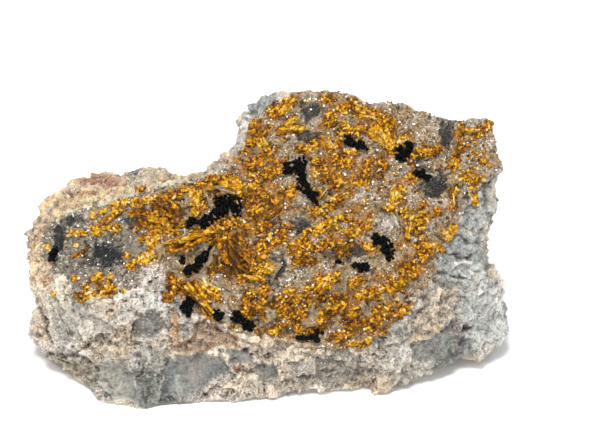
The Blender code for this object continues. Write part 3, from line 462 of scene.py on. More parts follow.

# Single needles, painted pale cream partly as painted glints: start u, v, end u, v.
NEEDLES = (
    (-8.4, 31.2, -6.9, 28.2),
    (4.3, 54.5, 4.9, 53.1),
    (9.3, 37.2, 10.9, 39.3),
    (11.4, 47.9, 12.2, 46.9),
    (35.2, 42.6, 37.4, 41.0),
    (36.6, 50.0, 39.3, 49.8),
    (10.4, 21.6, 11.7, 20.6),
    (9.0, 15.0, 9.6, 14.2),
    (-28.8, 33.1, -28.2, 33.5),
    (-12.6, 36.2, -12.3, 37.0),
    (33.7, 35.4, 33.5, 38.2),
    (19.6, 42.2, 20.6, 42.8),
)

# Sheaves that the frame carries as solids: name, u, v, heading, spread, length.
SHEAVES = (
    ("peak_left", 3.6, 50.6, 5, 80, 3.4),
    ("peak_shoulder", -1.6, 45.6, 75, 120, 4.2),
    ("peak_ridge", 22.4, 46.6, 112, 70, 5.4),
    ("peak_middle", 7.4, 45.6, 10, 130, 3.6),
    ("upper_middle", 12.8, 40.6, 200, 120, 4.6),
    ("right_of_hook", 11.4, 36.4, 300, 80, 4.4),
    ("saddle", -4.6, 39.6, 205, 100, 6.4),
    ("ledge_edge", -11.6, 38.0, 190, 80, 6.2),
    ("left_fan", -13.6, 32.8, 152, 62, 8.6),
    ("left_clump", -18.6, 28.6, 225, 170, 4.0),
    ("long_blade", -8.8, 31.6, 206, 26, 9.6),
    ("centre_fan", -8.2, 31.2, 290, 56, 8.8),
    ("honey_lump", -15.0, 24.0, 250, 160, 3.6),
    ("low_blade", -9.8, 17.6, 124, 34, 6.8),
    ("centre_right", 4.6, 29.4, 350, 130, 4.4),
    ("thin_blade", 0.2, 22.8, 162, 30, 5.6),
    ("low_middle", 1.6, 16.6, 160, 130, 6.0),
    ("low_centre", 7.4, 15.0, 75, 150, 5.8),
    ("low_right", 19.2, 15.2, 75, 130, 5.6),
    ("right_foot", 24.6, 22.6, 30, 120, 4.8),
    ("right_edge", 28.0, 26.8, 62, 80, 5.2),
    ("right_clump", 31.6, 30.2, 95, 120, 4.2),
    ("right_middle", 24.0, 33.4, 335, 100, 5.4),
    ("upper_right", 23.4, 38.2, 250, 80, 6.0),
    ("far_right", 36.2, 42.6, 222, 60, 6.2),
    ("edge_needles", 34.0, 35.4, 92, 22, 5.2),
    ("corner_needles", 38.4, 49.8, 186, 18, 4.8),
    ("ridge_right", 30.6, 45.8, 176, 100, 4.4),
    ("left_speck", -29.6, 21.8, 30, 70, 3.6),
)

# The sheaves that show long blades.
FANNED = (
    "left_fan", "long_blade", "centre_fan", "low_blade", "thin_blade", "peak_ridge", "edge_needles",
    "corner_needles",
)

# Oxide clusters that the frame carries as solids, each in lobes: u, v, half length, half width, turn.
OXIDE = {
    "large": ((-7.2, 36.6, 2.5, 1.6, 12), (-8.8, 34.8, 1.1, 1.0, 0), (-5.2, 35.6, 0.8, 1.4, 0)),
    "left_of_large": ((-13.3, 33.3, 1.1, 0.7, 0), (-10.4, 33.4, 1.2, 1.0, 60), (-11.2, 32.2, 0.5, 0.4, 0)),
    "hook": ((4.4, 43.4, 1.9, 0.9, 20), (6.3, 43.4, 0.9, 1.6, 0), (6.2, 41.4, 0.9, 1.2, 0)),
    "hook_tail": ((7.0, 39.2, 1.7, 1.0, -45), (8.4, 38.0, 1.2, 0.8, -30)),
    "left_band": ((-11.0, 26.8, 2.2, 0.9, 56), (-13.2, 24.7, 0.9, 0.7, 0), (-15.0, 26.5, 0.7, 0.6, 0)),
    "top_right": ((14.8, 48.0, 1.2, 0.7, -30), (16.8, 47.0, 1.6, 0.8, -10)),
    "blocky_upper": ((24.9, 46.1, 1.9, 1.3, 58),),
    "blocky_lower": ((20.2, 29.8, 1.6, 1.2, -50), (21.8, 28.2, 1.7, 1.2, -60)),
    "deep_centre": ((17.2, 25.2, 1.4, 0.8, -10), (12.7, 26.1, 0.5, 0.5, 0)),
    "right_patch": ((27.6, 41.9, 1.5, 0.6, -10),),
    "low_dot": ((-8.4, 16.8, 0.9, 0.9, 0),),
    "low_left": ((-4.8, 16.3, 1.4, 0.9, -30), (-3.3, 15.0, 1.2, 0.8, -40)),
    "foot": ((6.4, 12.9, 1.1, 0.5, -45), (8.9, 13.6, 1.0, 0.5, 15)),
    "rim_left": ((-14.0, 18.6, 1.4, 1.0, 60),),
    "lobe_corner": ((-38.2, 27.8, 1.0, 0.7, 40),),
}

# Where the small hard lights stand from the middle of the face, in metres.
SPARKS = (
    (-0.30, -0.20, 0.50),
    (0.22, -0.32, 0.45),
    (0.05, 0.05, 0.60),
    (-0.10, -0.50, 0.30),
    (0.34, 0.02, 0.48),
    (-0.42, -0.02, 0.38),
    (0.02, -0.26, 0.54),
)


# ---------------------------------------------------------------- settings


def length_setting(name, description, value):
    """A length that a user may change, given in millimetres."""
    return FloatProperty(name=name, description=description, default=value * MM, unit="LENGTH")


def share_setting(name, description, value):
    """A share from 0 to 1 that a user may change."""
    return FloatProperty(name=name, description=description, default=value, subtype="FACTOR")


def power_setting(name, description, value):
    """A light's power in watts that a user may change."""
    return FloatProperty(name=name, description=description, default=value, unit="POWER")


def colour_setting(name, description, value):
    """A colour that a user may change."""
    return FloatVectorProperty(name=name, description=description, default=value, subtype="COLOR")


class StoneSettings(bpy.types.PropertyGroup):
    """The matrix rock's relief and colour"""

    voxel: length_setting("Mesh size", "Size of the matrix's faces", 0.36)
    break_size: length_setting("Breaks", "Width of the broken faces", 4.4)
    break_depth: length_setting("Break depth", "Relief of the breaks", 1.9)
    chip_size: length_setting("Chips", "Width of the small chips", 1.7)
    chip_depth: length_setting("Chip depth", "Relief of the chips", 0.75)
    grain_size: length_setting("Grains", "Width of the grains", 0.85)
    grain_depth: length_setting("Grain depth", "Relief of the grains", 0.4)
    kept: share_setting("Faces kept", "Share of the faces that the unseen sides keep", 0.8)
    ground: colour_setting("Ground tone", "Colour of the plain stone", tone(206, 199, 186))
    roughness: share_setting("Roughness", "How dull the stone is", 0.72)


class DruseSettings(bpy.types.PropertyGroup):
    """The quartz crust's relief and colours"""

    voxel: length_setting("Mesh size", "Size of the crust's faces", 0.29)
    clump_height: length_setting("Clumps", "Height of the clumps", 0.7)
    clump_size: length_setting("Clump size", "Width of the clumps", 1.7)
    swell: length_setting("Swell", "How far the crust stands proud", 0.15)
    lap: length_setting("Lap", "How far its edge laps the rock", 0.85)
    quartz: colour_setting("Quartz tone", "Colour of the clear druse", tone(154, 140, 121))
    shadow: colour_setting("Shadowed tone", "Colour where oxide shows through", tone(11, 17, 22))
    stain: colour_setting("Stain", "Amber colour between the sheaves", tone(142, 92, 6))
    milk: colour_setting("Milky tone", "Colour of the milky lumps", tone(190, 180, 168))
    roughness: share_setting("Roughness", "How dull the crust is", 0.38)


class PointSettings(bpy.types.PropertyGroup):
    """The clear quartz points, and the ones painted white as glints"""

    count: IntProperty(name="Points", description="Number of quartz points", default=9500)
    size: length_setting("Size", "Width of a quartz point", 0.26)
    density: share_setting("On uranophane", "Share of points kept over uranophane", 0.15)
    # Painted glints: how many points are painted white to stand in for the sparkle of light on the quartz.
    bright: IntProperty(name="Bright points", description="Number that catch the light", default=470)
    ior: FloatProperty(name="IOR", description="Index of refraction of quartz", default=1.544)
    clear: colour_setting("Clear tone", "Colour seen through a point", tone(250, 246, 242))


class SheafSettings(bpy.types.PropertyGroup):
    """The uranophane's blades and colours"""

    blade_width: length_setting("Blade width", "Width of a blade", 0.58)
    blades: FloatProperty(name="Blades", description="Blades to a square millimetre of fan", default=4.5)
    crowd: FloatProperty(name="Crystals", description="Short crystals to a square millimetre", default=10.0)
    swell: length_setting("Swell", "How far a root mass laps its bed", 0.02)
    flecks: IntProperty(name="Flecks", description="Places tried for a stray crystal", default=4200)
    deep: colour_setting("Deep tone", "Colour in the depth of a sheaf", tone(78, 42, 3))
    amber: colour_setting("Amber", "Colour of most blades", tone(204, 120, 0))
    yellow: colour_setting("Yellow", "Colour of the palest blades", tone(244, 196, 22))
    cream: colour_setting("Cream", "Colour of the single needles", tone(250, 236, 188))
    roughness: share_setting("Roughness", "How dull a blade is", 0.34)


class OxideSettings(bpy.types.PropertyGroup):
    """The black oxide's grains and colour"""

    grain: length_setting("Grain", "Width of an oxide grain", 0.8)
    grains: FloatProperty(name="Grains", description="Grains to a square millimetre", default=7.0)
    swell: length_setting("Swell", "How far a cluster laps its bed", 0.02)
    black: colour_setting("Black", "Colour of the oxide", tone(5, 6, 6))
    roughness: share_setting("Roughness", "How dull the oxide is", 0.42)


class StageSettings(bpy.types.PropertyGroup):
    """The floor, the lights and the camera"""

    floor: colour_setting("Floor", "Colour of the floor", (0.95, 0.95, 0.95))
    surround: FloatProperty(name="Surround", description="Strength of the light from all round", default=0.6)
    key: power_setting("Key light", "Power of the soft light above", 7.4)
    spark: power_setting("Sparkle", "Power of each small hard light", 0.12)
    frame_width: length_setting("Frame width", "Width in view at the face", 106.8)
    lens: FloatProperty(name="Lens", description="Focal length in millimetres", default=200.0)


# ---------------------------------------------------------------- places and meshes


def at(u, v, w=0.0):
    """The point u right, v up and w out of the display face."""
    return FACE_CORNER + (U_AXIS * u + V_AXIS * v + W_AXIS * w) * MM


def places_of(points):
    """The u, v and w of many points."""
    return (points - np.array(FACE_CORNER)) @ FACE_AXES.T / MM


def deselect():
    """Object mode, with nothing selected."""
    if bpy.context.object and bpy.context.object.mode != "OBJECT":
        bpy.ops.object.mode_set(mode="OBJECT")
    bpy.ops.object.select_all(action="DESELECT")


def activate(obj):
    """Selects one object alone and makes it active."""
    deselect()
    obj.select_set(True)
    bpy.context.view_layer.objects.active = obj


def edit_all(obj):
    """Edit mode on one object, with all of it selected."""
    activate(obj)
    bpy.ops.object.mode_set(mode="EDIT")
    bpy.ops.mesh.select_all(action="SELECT")


def leave_edit():
    """Object mode again."""
    bpy.ops.object.mode_set(mode="OBJECT")


def modified(obj, kind, **settings):
    """Adds one modifier, sets it and applies it."""
    modifier = obj.modifiers.new(kind.title(), kind)
    for name, value in settings.items():
        setattr(modifier, name, value)
    activate(obj)
    bpy.ops.object.modifier_apply(modifier=modifier.name)


def node_copy(node, name):
    """A merged copy of a frame node's mesh, without its finish."""
    obj = bpy.data.objects.new(name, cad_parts[node].data.copy())
    bpy.context.scene.collection.objects.link(obj)
    obj.data.name = name
    obj.data.materials.clear()
    edit_all(obj)
    bpy.ops.mesh.remove_doubles(threshold=WELD)
    leave_edit()
    return obj


def remeshed(obj, voxel):
    """The same form in small even faces."""
    modified(obj, "REMESH", mode="VOXEL", voxel_size=voxel)


def relief(obj, kind, size, height, level=0.5, **settings):
    """Raises the surface along its normals by a procedural texture."""
    texture = bpy.data.textures.new(f"{obj.name}_{kind.lower()}", kind)
    texture.noise_scale = size
    for name, value in settings.items():
        setattr(texture, name, value)
    modified(obj, "DISPLACE", texture=texture, texture_coords="LOCAL", strength=height, mid_level=level)


def facet_shaded(obj):
    """Shows the surface's faces as flat ones, like broken crystal."""
    activate(obj)
    bpy.ops.object.shade_flat()


def values_of(items, name, width=1):
    """One property of many mesh elements, as an array with a row for each."""
    values = np.empty(len(items) * width)
    items.foreach_get(name, values)
    return values.reshape(-1, width) if width > 1 else values


def points_and_normals(mesh):
    """All vertices' places in metres and their normals, as arrays."""
    return values_of(mesh.vertices, "co", 3), values_of(mesh.vertex_normals, "vector", 3)


def outward(normals):
    """How far each normal points out of the display face: 1 straight out, -1 straight in."""
    return normals @ np.array(W_AXIS)


def noise_at(points, size, octaves, seed):
    """Smooth noise at many points, about -1 to 1, with features of this size."""
    shift = Vector((seed * 7.3, seed * 3.1, seed * 5.7))
    return np.array([noise.fractal(Vector(p) / size + shift, *FRACTAL, octaves) for p in points])


def random_of(seeds, channel):
    """A steady random number from 0 to 1 for each seed place."""
    mixed = np.sin(seeds @ np.array((12.99, 78.23, 37.72)) + 4.1 * channel) * 4375.85
    return mixed - np.floor(mixed)


def facets(points, size, tilt):
    """Broken faces, the highest of the tilted planes round each point: heights in their size, and a random
    shade for each face that the stone uses as painted light and shade.
    """
    seeds = np.array([noise.voronoi(Vector(p) / size)[1] for p in points])
    leans = np.stack([random_of(seeds, channel) - 0.5 for channel in range(3)], axis=-1)
    heights = tilt * ((points[:, None] / size - seeds) * leans).sum(axis=-1) + 0.3 * random_of(seeds, 3)
    top = heights.argmax(axis=1)
    rows = np.arange(len(points))
    return heights[rows, top], random_of(seeds, 5)[rows, top]


def in_outline(places, outline):
    """Whether each place lies inside a closed outline of the display face."""
    u, v = places[:, 0], places[:, 1]
    inside = np.zeros(len(places), dtype=bool)
    for (u0, v0), (u1, v1) in zip(outline, outline[1:] + outline[:1]):
        slope = (u1 - u0) / (v1 - v0) if v1 != v0 else 0.0
        inside ^= ((v0 > v) != (v1 > v)) & (u < u0 + (v - v0) * slope)
    return inside


def raise_by(obj, heights):
    """Moves each vertex out along its normal by its own height."""
    points, normals = points_and_normals(obj.data)
    obj.data.vertices.foreach_set("co", (points + normals * heights[:, None]).ravel())
    obj.data.update()


def store_ridge(mesh, rounds, reach):
    """Stores how far each vertex stands out of the form around it, 1 on a ridge and 0 in hollows; the
    materials use it as painted shade, lighter on ridges and darker in hollows.
    """
    points, normals = points_and_normals(mesh)
    edges = np.empty(len(mesh.edges) * 2, dtype=np.int32)
    mesh.edges.foreach_get("vertices", edges)
    ends = np.concatenate([edges[0::2], edges[1::2]])
    others = np.concatenate([edges[1::2], edges[0::2]])
    count = np.bincount(ends, minlength=len(points))
    smooth = points.copy()
    for _ in range(rounds):
        around = [np.bincount(ends, smooth[others, axis], len(points)) / count for axis in range(3)]
        smooth = np.column_stack(around)
    height = ((points - smooth) * normals).sum(axis=1)
    store_values(mesh, "ridge", np.clip(0.5 + 0.5 * height / reach, 0.0, 1.0))


def smooth_step(values, low, high):
    """0 below low, 1 above high and a soft step between them."""
    share = np.clip((values - low) / (high - low), 0.0, 1.0)
    return share * share * (3.0 - 2.0 * share)


def in_ellipse(places, u, v, half_length, half_width, turn, wobble=0.0):
    """1 inside an ellipse of the display face, falling to 0 over a soft uneven edge."""
    angle = math.radians(turn)
    du = places[:, 0] - u
    dv = places[:, 1] - v
    along = du * math.cos(angle) + dv * math.sin(angle)
    across = dv * math.cos(angle) - du * math.sin(angle)
    reach = np.sqrt((along / half_length) ** 2 + (across / half_width) ** 2) + wobble
    return 1.0 - smooth_step(reach, 0.7, 1.3)


def from_line(places, points):
    """Each place's distance in millimetres from a line through points of the display face."""
    nearest = np.full(len(places), 1e9)
    for (u0, v0), (u1, v1) in zip(points, points[1:]):
        run = np.array([u1 - u0, v1 - v0])
        offset = places[:, :2] - np.array([u0, v0])
        share = np.clip(offset @ run / max(run @ run, 1e-9), 0.0, 1.0)
        nearest = np.minimum(nearest, np.linalg.norm(offset - share[:, None] * run, axis=1))
    return nearest


def blended(colours, share, colour):
    """Colours moved towards one colour by a share at each vertex."""
    share = share[:, None]
    return colours * (1.0 - share) + np.array(colour) * share


def store_colours(mesh, name, colours):
    """Stores a colour at each vertex, for the materials to read."""
    attribute = mesh.attributes.new(name, "FLOAT_COLOR", "POINT")
    attribute.data.foreach_set("color", np.column_stack([colours, np.ones(len(colours))]).ravel())


def store_values(mesh, name, values):
    """Stores a value at each vertex, for the materials to read."""
    attribute = mesh.attributes.new(name, "FLOAT", "POINT")
    attribute.data.foreach_set("value", np.asarray(values, float))


def store_group(obj, name, weights):
    """A vertex group from an array, in even steps of weight."""
    group = obj.vertex_groups.new(name=name)
    steps = np.round(weights * WEIGHT_STEPS).astype(int)
    for step in range(1, WEIGHT_STEPS + 1):
        group.add(np.flatnonzero(steps == step).tolist(), step / WEIGHT_STEPS, "REPLACE")


def give(obj, material, slot, *nodes):
    """A finished piece: its material, its body and the nodes it stands for. Its slot is not used."""
    obj.data.materials.clear()
    obj.data.materials.append(material)
    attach(obj, BODY)
    if nodes:
        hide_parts(*nodes)


class Surface:
    """What lies highest over a place of the display face."""

    def __init__(self, objects):
        self.trees = []
        for obj in objects:
            points, _ = points_and_normals(obj.data)
            polygons = [tuple(face.vertices) for face in obj.data.polygons]
            self.trees.append(BVHTree.FromPolygons([Vector(p) for p in points], polygons))

    def under(self, u, v):
        """The point and normal of the highest surface there, and which object it is, or None."""
        start = at(u, v, CLEAR_OF_FACE)
        found = None
        for index, tree in enumerate(self.trees):
            point, normal, _, distance = tree.ray_cast(start, -W_AXIS)
            if point is not None and (found is None or distance < found[3]):
                found = (point, normal, index, distance)
        return found and found[:3]


class Copies:
    """Many copies of one small modelled shape, gathered into a single mesh."""

    def __init__(self, shape):
        mesh = shape.data
        self.corners, _ = points_and_normals(mesh)
        mesh.calc_loop_triangles()
        self.triangles = np.array([tuple(t.vertices) for t in mesh.loop_triangles])
        self.matrices = []
        self.tints = []

    def add(self, matrix, tint):
        """One more copy, at a place and with a tint of its own."""
        self.matrices.append(np.array(matrix))
        self.tints.append(tint)

    def joined_to(self, obj, name):
        """Joins the copies into a finished object."""
        gathered = self.gathered(name)
        activate(obj)
        gathered.select_set(True)
        bpy.ops.object.join()

    def gathered(self, name):
        """The finished mesh object, with each copy's tint at its vertices."""
        matrices = np.array(self.matrices)
        corners = np.einsum("nij,vj->nvi", matrices[:, :3, :3], self.corners) + matrices[:, None, :3, 3]
        count = len(matrices)
        offsets = np.arange(count)[:, None, None] * len(self.corners)
        triangles = (self.triangles[None] + offsets).reshape(-1, 3)
        mesh = bpy.data.meshes.new(name)
        mesh.vertices.add(count * len(self.corners))
        mesh.vertices.foreach_set("co", corners.ravel())
        mesh.loops.add(triangles.size)
        mesh.loops.foreach_set("vertex_index", triangles.ravel())
        mesh.polygons.add(len(triangles))
        mesh.polygons.foreach_set("loop_start", np.arange(len(triangles)) * 3)
        mesh.update(calc_edges=True)
        heights = self.corners[:, 2] / max(self.corners[:, 2].max(), 1e-9)
        store_values(mesh, "tint", np.repeat(self.tints, len(self.corners)))
        store_values(mesh, "along", np.tile(np.clip(heights, 0.0, 1.0), count))
        obj = bpy.data.objects.new(name, mesh)
        bpy.context.scene.collection.objects.link(obj)
        return obj


class Halves:
    """Copies in a left and a right piece, because together they have too many faces for one."""

    def __init__(self, shape):
        self.sides = {"left": Copies(shape), "right": Copies(shape)}

    def over(self, u):
        """The copies on this side of the display face."""
        return self.sides["right" if u > PARTED_AT else "left"]

    def given(self, name, material, slot):
        """The two finished pieces."""
        pieces = [copies.gathered(f"{name}_{side}") for side, copies in self.sides.items()]
        for piece in pieces:
            give(piece, material, slot)
        return pieces


def turned(direction, roll, scale, place):
    """A matrix that lays a shape's z axis along a direction, rolled about it, scaled and set at a place."""
    turn = direction.to_track_quat("Z", "Y").to_matrix() @ Matrix.Rotation(roll, 3, "Z")
    return Matrix.Translation(place) @ (turn @ Matrix.Diagonal(scale)).to_4x4()


def pick_top(obj):
    """Selects the highest faces in edit mode, by their place."""
    leave_edit()
    highest = max(face.center.z for face in obj.data.polygons)
    for face in obj.data.polygons:
        face.select = face.center.z > highest - 1e-6
    bpy.ops.object.mode_set(mode="EDIT")


def drawn_point(name, sides, rise, taper, tip):
    """A closed crystal of unit radius: a prism from 0 to rise, tapered, with a pyramid up to tip."""
    deselect()
    bpy.ops.mesh.primitive_cylinder_add(vertices=sides, radius=1.0, depth=rise, location=(0, 0, rise / 2))
    obj = bpy.context.object
    obj.name = name
    bpy.ops.object.transform_apply(location=True, rotation=True, scale=True)
    bpy.ops.object.mode_set(mode="EDIT")
    bpy.ops.mesh.select_mode(type="FACE")
    bpy.ops.mesh.select_all(action="DESELECT")
    pick_top(obj)
    bpy.ops.transform.resize(value=(taper, taper, 1.0), center_override=(0, 0, rise))
    bpy.ops.mesh.extrude_region_move(TRANSFORM_OT_translate={"value": (0, 0, tip - rise)})
    bpy.ops.mesh.merge(type="CENTER")
    leave_edit()
    return obj


def discard(obj):
    """Removes a shape that has been copied."""
    bpy.data.objects.remove(obj)


# ---------------------------------------------------------------- shader sums


class Wire:
    """A socket that sums can be written with."""

    def __init__(self, finish, socket):
        self.finish = finish
        self.socket = socket

    def _sum(self, operation, first, second):
        return self.finish.node("ShaderNodeMath", {"operation": operation}, {0: first, 1: second})

    def __add__(self, other):
        return self._sum("ADD", self, other)

    __radd__ = __add__

    def __sub__(self, other):
        return self._sum("SUBTRACT", self, other)

    def __rsub__(self, other):
        return self._sum("SUBTRACT", other, self)

    def __mul__(self, other):
        return self._sum("MULTIPLY", self, other)

    __rmul__ = __mul__


class Finish:
    """A material that is built node by node."""

    def __init__(self, name):
        self.material = bpy.data.materials.new(name)
        self.material.use_nodes = True
        self.tree = self.material.node_tree
        self.tree.nodes.clear()

    def node(self, kind, settings=None, inputs=None, output=0):
        """Adds a node, sets it, then fills its sockets with values or wires, and gives one output."""
        node = self.tree.nodes.new(kind)
        for name, value in (settings or {}).items():
            setattr(node, name, value)
        for name, value in (inputs or {}).items():
            socket = node.inputs[name]
            if isinstance(value, Wire):
                self.tree.links.new(value.socket, socket)
            else:
                socket.default_value = value
        return Wire(self, node.outputs[output]) if node.outputs else None

    def millimetres(self):
        """Object coordinates in millimetres."""
        place = self.node("ShaderNodeTexCoord", output="Object")
        return self.node("ShaderNodeMapping", {}, {"Vector": place, "Scale": (1 / MM, 1 / MM, 1 / MM)})

    def attribute(self, name, output="Fac"):
        """What is stored at the mesh's vertices under this name."""
        return self.node("ShaderNodeAttribute", {"attribute_name": name}, output=output)

    def clouds(self, place, size, detail, rough):
        """Noise from 0 to 1 with features of this many millimetres."""
        inputs = {"Vector": place, "Scale": 1 / size, "Detail": detail, "Roughness": rough}
        return self.node("ShaderNodeTexNoise", {}, inputs)

    def cells(self, place, size, output="Distance"):
        """Crystal-like cells of this many millimetres."""
        return self.node("ShaderNodeTexVoronoi", {}, {"Vector": place, "Scale": 1 / size}, output=output)

    def grains(self, place, size, channel=0):
        """A random number from 0 to 1 for each crystal of this many millimetres."""
        return self.node("ShaderNodeSeparateColor", {}, {"Color": self.cells(place, size, "Color")}, channel)

    def warped(self, place, size):
        """Places pushed about by noise of this many millimetres, so that cells break unevenly."""
        inputs = {"Vector": place, "Scale": 1 / size, "Detail": 3.0}
        push = self.node("ShaderNodeTexNoise", {}, inputs, "Color")
        inputs = {0: push, 1: (size, size, size), 2: place}
        return self.node("ShaderNodeVectorMath", {"operation": "MULTIPLY_ADD"}, inputs)

    def stepped(self, value, low, high):
        """0 below low and 1 above high."""
        settings = {"interpolation_type": "SMOOTHSTEP"}
        return self.node("ShaderNodeMapRange", settings, {"Value": value, "From Min": low, "From Max": high})

    def patches(self, place, size, detail, rough, low=0.32, high=0.68):
        """Noise that is stretched between two levels, so that it covers all of 0 to 1."""
        return self.stepped(self.clouds(place, size, detail, rough), low, high)

    def mixed(self, share, first, second):
        """Two colours mixed by a share."""
        settings = {"data_type": "RGBA", "clamp_factor": True}
        inputs = {0: share, 6: self.full(first), 7: self.full(second)}
        return self.node("ShaderNodeMix", settings, inputs, output=2)

    def shaded(self, colour, value):
        """A colour made lighter or darker by a value."""
        settings = {"operation": "SCALE"}
        return self.node("ShaderNodeVectorMath", settings, {0: colour, "Scale": value})

    def full(self, colour):
        """A colour with its alpha, if it is a plain one."""
        return colour if isinstance(colour, Wire) else (*colour, 1.0)

    def surface(self, bump=None, bump_distance=0.1 * MM, **inputs):
        """The finished material: a principled shader with these sockets."""
        names = {name: name.replace("_", " ").title().replace("Ior", "IOR") for name in inputs}
        named = {names[name]: value for name, value in inputs.items()}
        if bump is not None:
            named["Normal"] = self.node("ShaderNodeBump", {}, {"Height": bump, "Distance": bump_distance})
        shader = self.node("ShaderNodeBsdfPrincipled", {}, named)
        self.node("ShaderNodeOutputMaterial", {}, {"Surface": shader})
        return self.material


def stone_finish(settings):
    """Granular stone: its tone at each place, which carries painted light and shade on its broken faces,
    painted shade on its ridges and hollows, light and dark grains, specks and a rough tooth.
    """
    finish = Finish("matrix_stone")
    place = finish.millimetres()
    ridge = finish.attribute("ridge")
    granular = finish.attribute("granular")
    coarse = finish.patches(place, 1.2, 6.0, 0.75)
    fine = finish.patches(place, 0.35, 4.0, 0.75)
    grain = finish.grains(place, 0.3)
    contrast = (0.7 * coarse + 1.0 * fine + 0.6 * grain - 1.15) * (0.35 + 0.65 * granular)
    shards = finish.grains(finish.warped(place, 0.9), 1.5, 1)
    shards = shards + finish.grains(finish.warped(place, 0.6), 0.6, 2)
    contrast = contrast + 0.32 * (shards - 1.0) * (1.0 - granular)
    # Painted shade: the ridge value makes ridges lighter and hollows darker in the colour.
    colour = finish.shaded(finish.attribute("tone", "Color"), 0.55 + contrast + 0.9 * ridge)
    warm = finish.stepped(finish.grains(place, 0.42, 1), 0.55, 1.0) * granular
    colour = finish.mixed(0.22 * warm, colour, GRAIN["warm"])
    pale = finish.stepped(finish.grains(place, 0.36, 2), 0.78, 0.95) * granular
    colour = finish.mixed(0.55 * pale, colour, GRAIN["pale"])
    specks = finish.patches(place, 0.8, 5.0, 0.8, 0.58, 0.64) * finish.attribute("specks")
    colour = finish.mixed(0.75 * specks, colour, GRAIN["speck"])
    tooth = (coarse + 0.8 * fine + 0.4 * grain - 0.6 * specks) * (0.25 + 0.75 * granular) + 0.5 * shards
    roughness = settings.roughness - 0.3 * pale - 0.2 * (1.0 - granular)
    return finish.surface(base_color=colour, roughness=roughness, bump=tooth, bump_distance=0.4 * MM)


def druse_finish(settings):
    """The ground of the druse: small crystals that differ in tone, with dark specks between them and painted
    shade in the hollows of the clumps.
    """
    finish = Finish("druse_ground")
    place = finish.millimetres()
    grain = finish.grains(place, 0.32)
    depth = finish.cells(place, 0.32, "Distance")
    coarse = finish.patches(place, 0.9, 5.0, 0.7)
    # Painted shade: the ridge value makes the clumps' ridges lighter and their hollows darker.
    brightness = 0.8 * grain + 0.55 * coarse + 0.7 * finish.attribute("ridge") - 0.1
    pale = finish.stepped(finish.grains(place, 0.38, 1), 0.86, 0.95)
    colour = finish.shaded(finish.attribute("tone", "Color"), brightness + 0.9 * pale)
    specks = finish.patches(place, 0.45, 3.0, 0.75, 0.58, 0.66)
    colour = finish.mixed(0.75 * specks, colour, GRAIN["dark"])
    return finish.surface(
        base_color=colour,
        roughness=settings.roughness,
        specular_ior_level=0.3,
        coat_weight=0.15,
        coat_roughness=0.06,
        bump=grain - depth,
        bump_distance=0.25 * MM,
    )


def painted_glint_finish(settings):
    """Quartz points painted white, as painted glints for the light that real quartz faces catch."""
    finish = Finish("painted_glint_quartz")
    shade = 0.85 + 0.15 * finish.attribute("tint")
    colour = finish.shaded((1.0, 0.995, 0.985), shade)
    return finish.surface(base_color=colour, roughness=0.12, ior=settings.ior)


def point_finish(settings):
    """Clear quartz."""
    finish = Finish("clear_quartz")
    return finish.surface(
        base_color=(*settings.clear, 1.0), transmission_weight=1.0, ior=settings.ior, roughness=0.1
    )


def sheaf_finish(settings):
    """Vitreous uranophane: deep amber to yellow crystals that differ one by one, paler to the tip, with dark
    patches painted as the shade of holes among them.
    """
    finish = Finish("uranophane_crystals")
    place = finish.millimetres()
    mottle = finish.patches(place, 0.5, 4.0, 0.7)
    grain = finish.grains(place, 0.36)
    broad = finish.patches(place, 2.0, 3.0, 0.6, 0.36, 0.64)
    shade = finish.attribute("tint") + 0.2 * finish.attribute("along") + 0.5 * mottle
    shade = shade + 0.5 * grain + 0.55 * broad - 0.86
    colour = finish.mixed(finish.stepped(shade, 0.0, 0.6), settings.deep, settings.amber)
    colour = finish.mixed(finish.stepped(shade, 0.5, 1.0), colour, settings.yellow)
    colour = finish.mixed(finish.stepped(shade, 1.1, 1.4), colour, settings.cream)
    olive = finish.patches(place, 2.4, 3.0, 0.6, 0.52, 0.66)
    colour = finish.mixed(0.35 * olive, colour, GRAIN["olive"])
    # Painted shade: near black patches stand in for the shade in holes between the crystals.
    hollow = finish.patches(place, 1.3, 4.0, 0.7, 0.57, 0.66)
    colour = finish.mixed(0.7 * hollow, colour, GRAIN["hollow"])
    druse = finish.shaded(GRAIN["bare_druse"], 0.4 + 0.8 * grain + 0.5 * mottle)
    colour = finish.mixed(finish.attribute("clear"), colour, druse)
    return finish.surface(
        base_color=colour,
        roughness=settings.roughness,
        transmission_weight=0.2,
        ior=1.66,
        specular_ior_level=0.25,
        specular_tint=(1.0, 0.8, 0.4, 1.0),
        coat_weight=0.16,
        coat_roughness=0.05,
        bump=mottle + grain,
        bump_distance=0.12 * MM,
    )


def oxide_finish(settings):
    """Black oxide: nearly black, a little blue, with dull and shining grains."""
    finish = Finish("black_oxide")
    place = finish.millimetres()
    patches = finish.clouds(place, 0.6, 2.0, 0.6)
    colour = finish.mixed(finish.stepped(patches, 0.5, 0.8), settings.black, GRAIN["blue_black"])
    return finish.surface(
        base_color=colour, roughness=settings.roughness + 0.3 * patches, specular_ior_level=0.06, bump=patches
    )


# ---------------------------------------------------------------- pieces


def shaken_places(points):
    """The u, v and w of many points, moved about a little so that lines and outlines run crooked."""
    side = 0.7 * noise_at(points, 2.0 * MM, octaves=4, seed=4.0)
    rise = 0.7 * noise_at(points, 2.0 * MM, octaves=4, seed=11.0)
    return places_of(points) + np.column_stack([side, rise, np.zeros(len(points))])


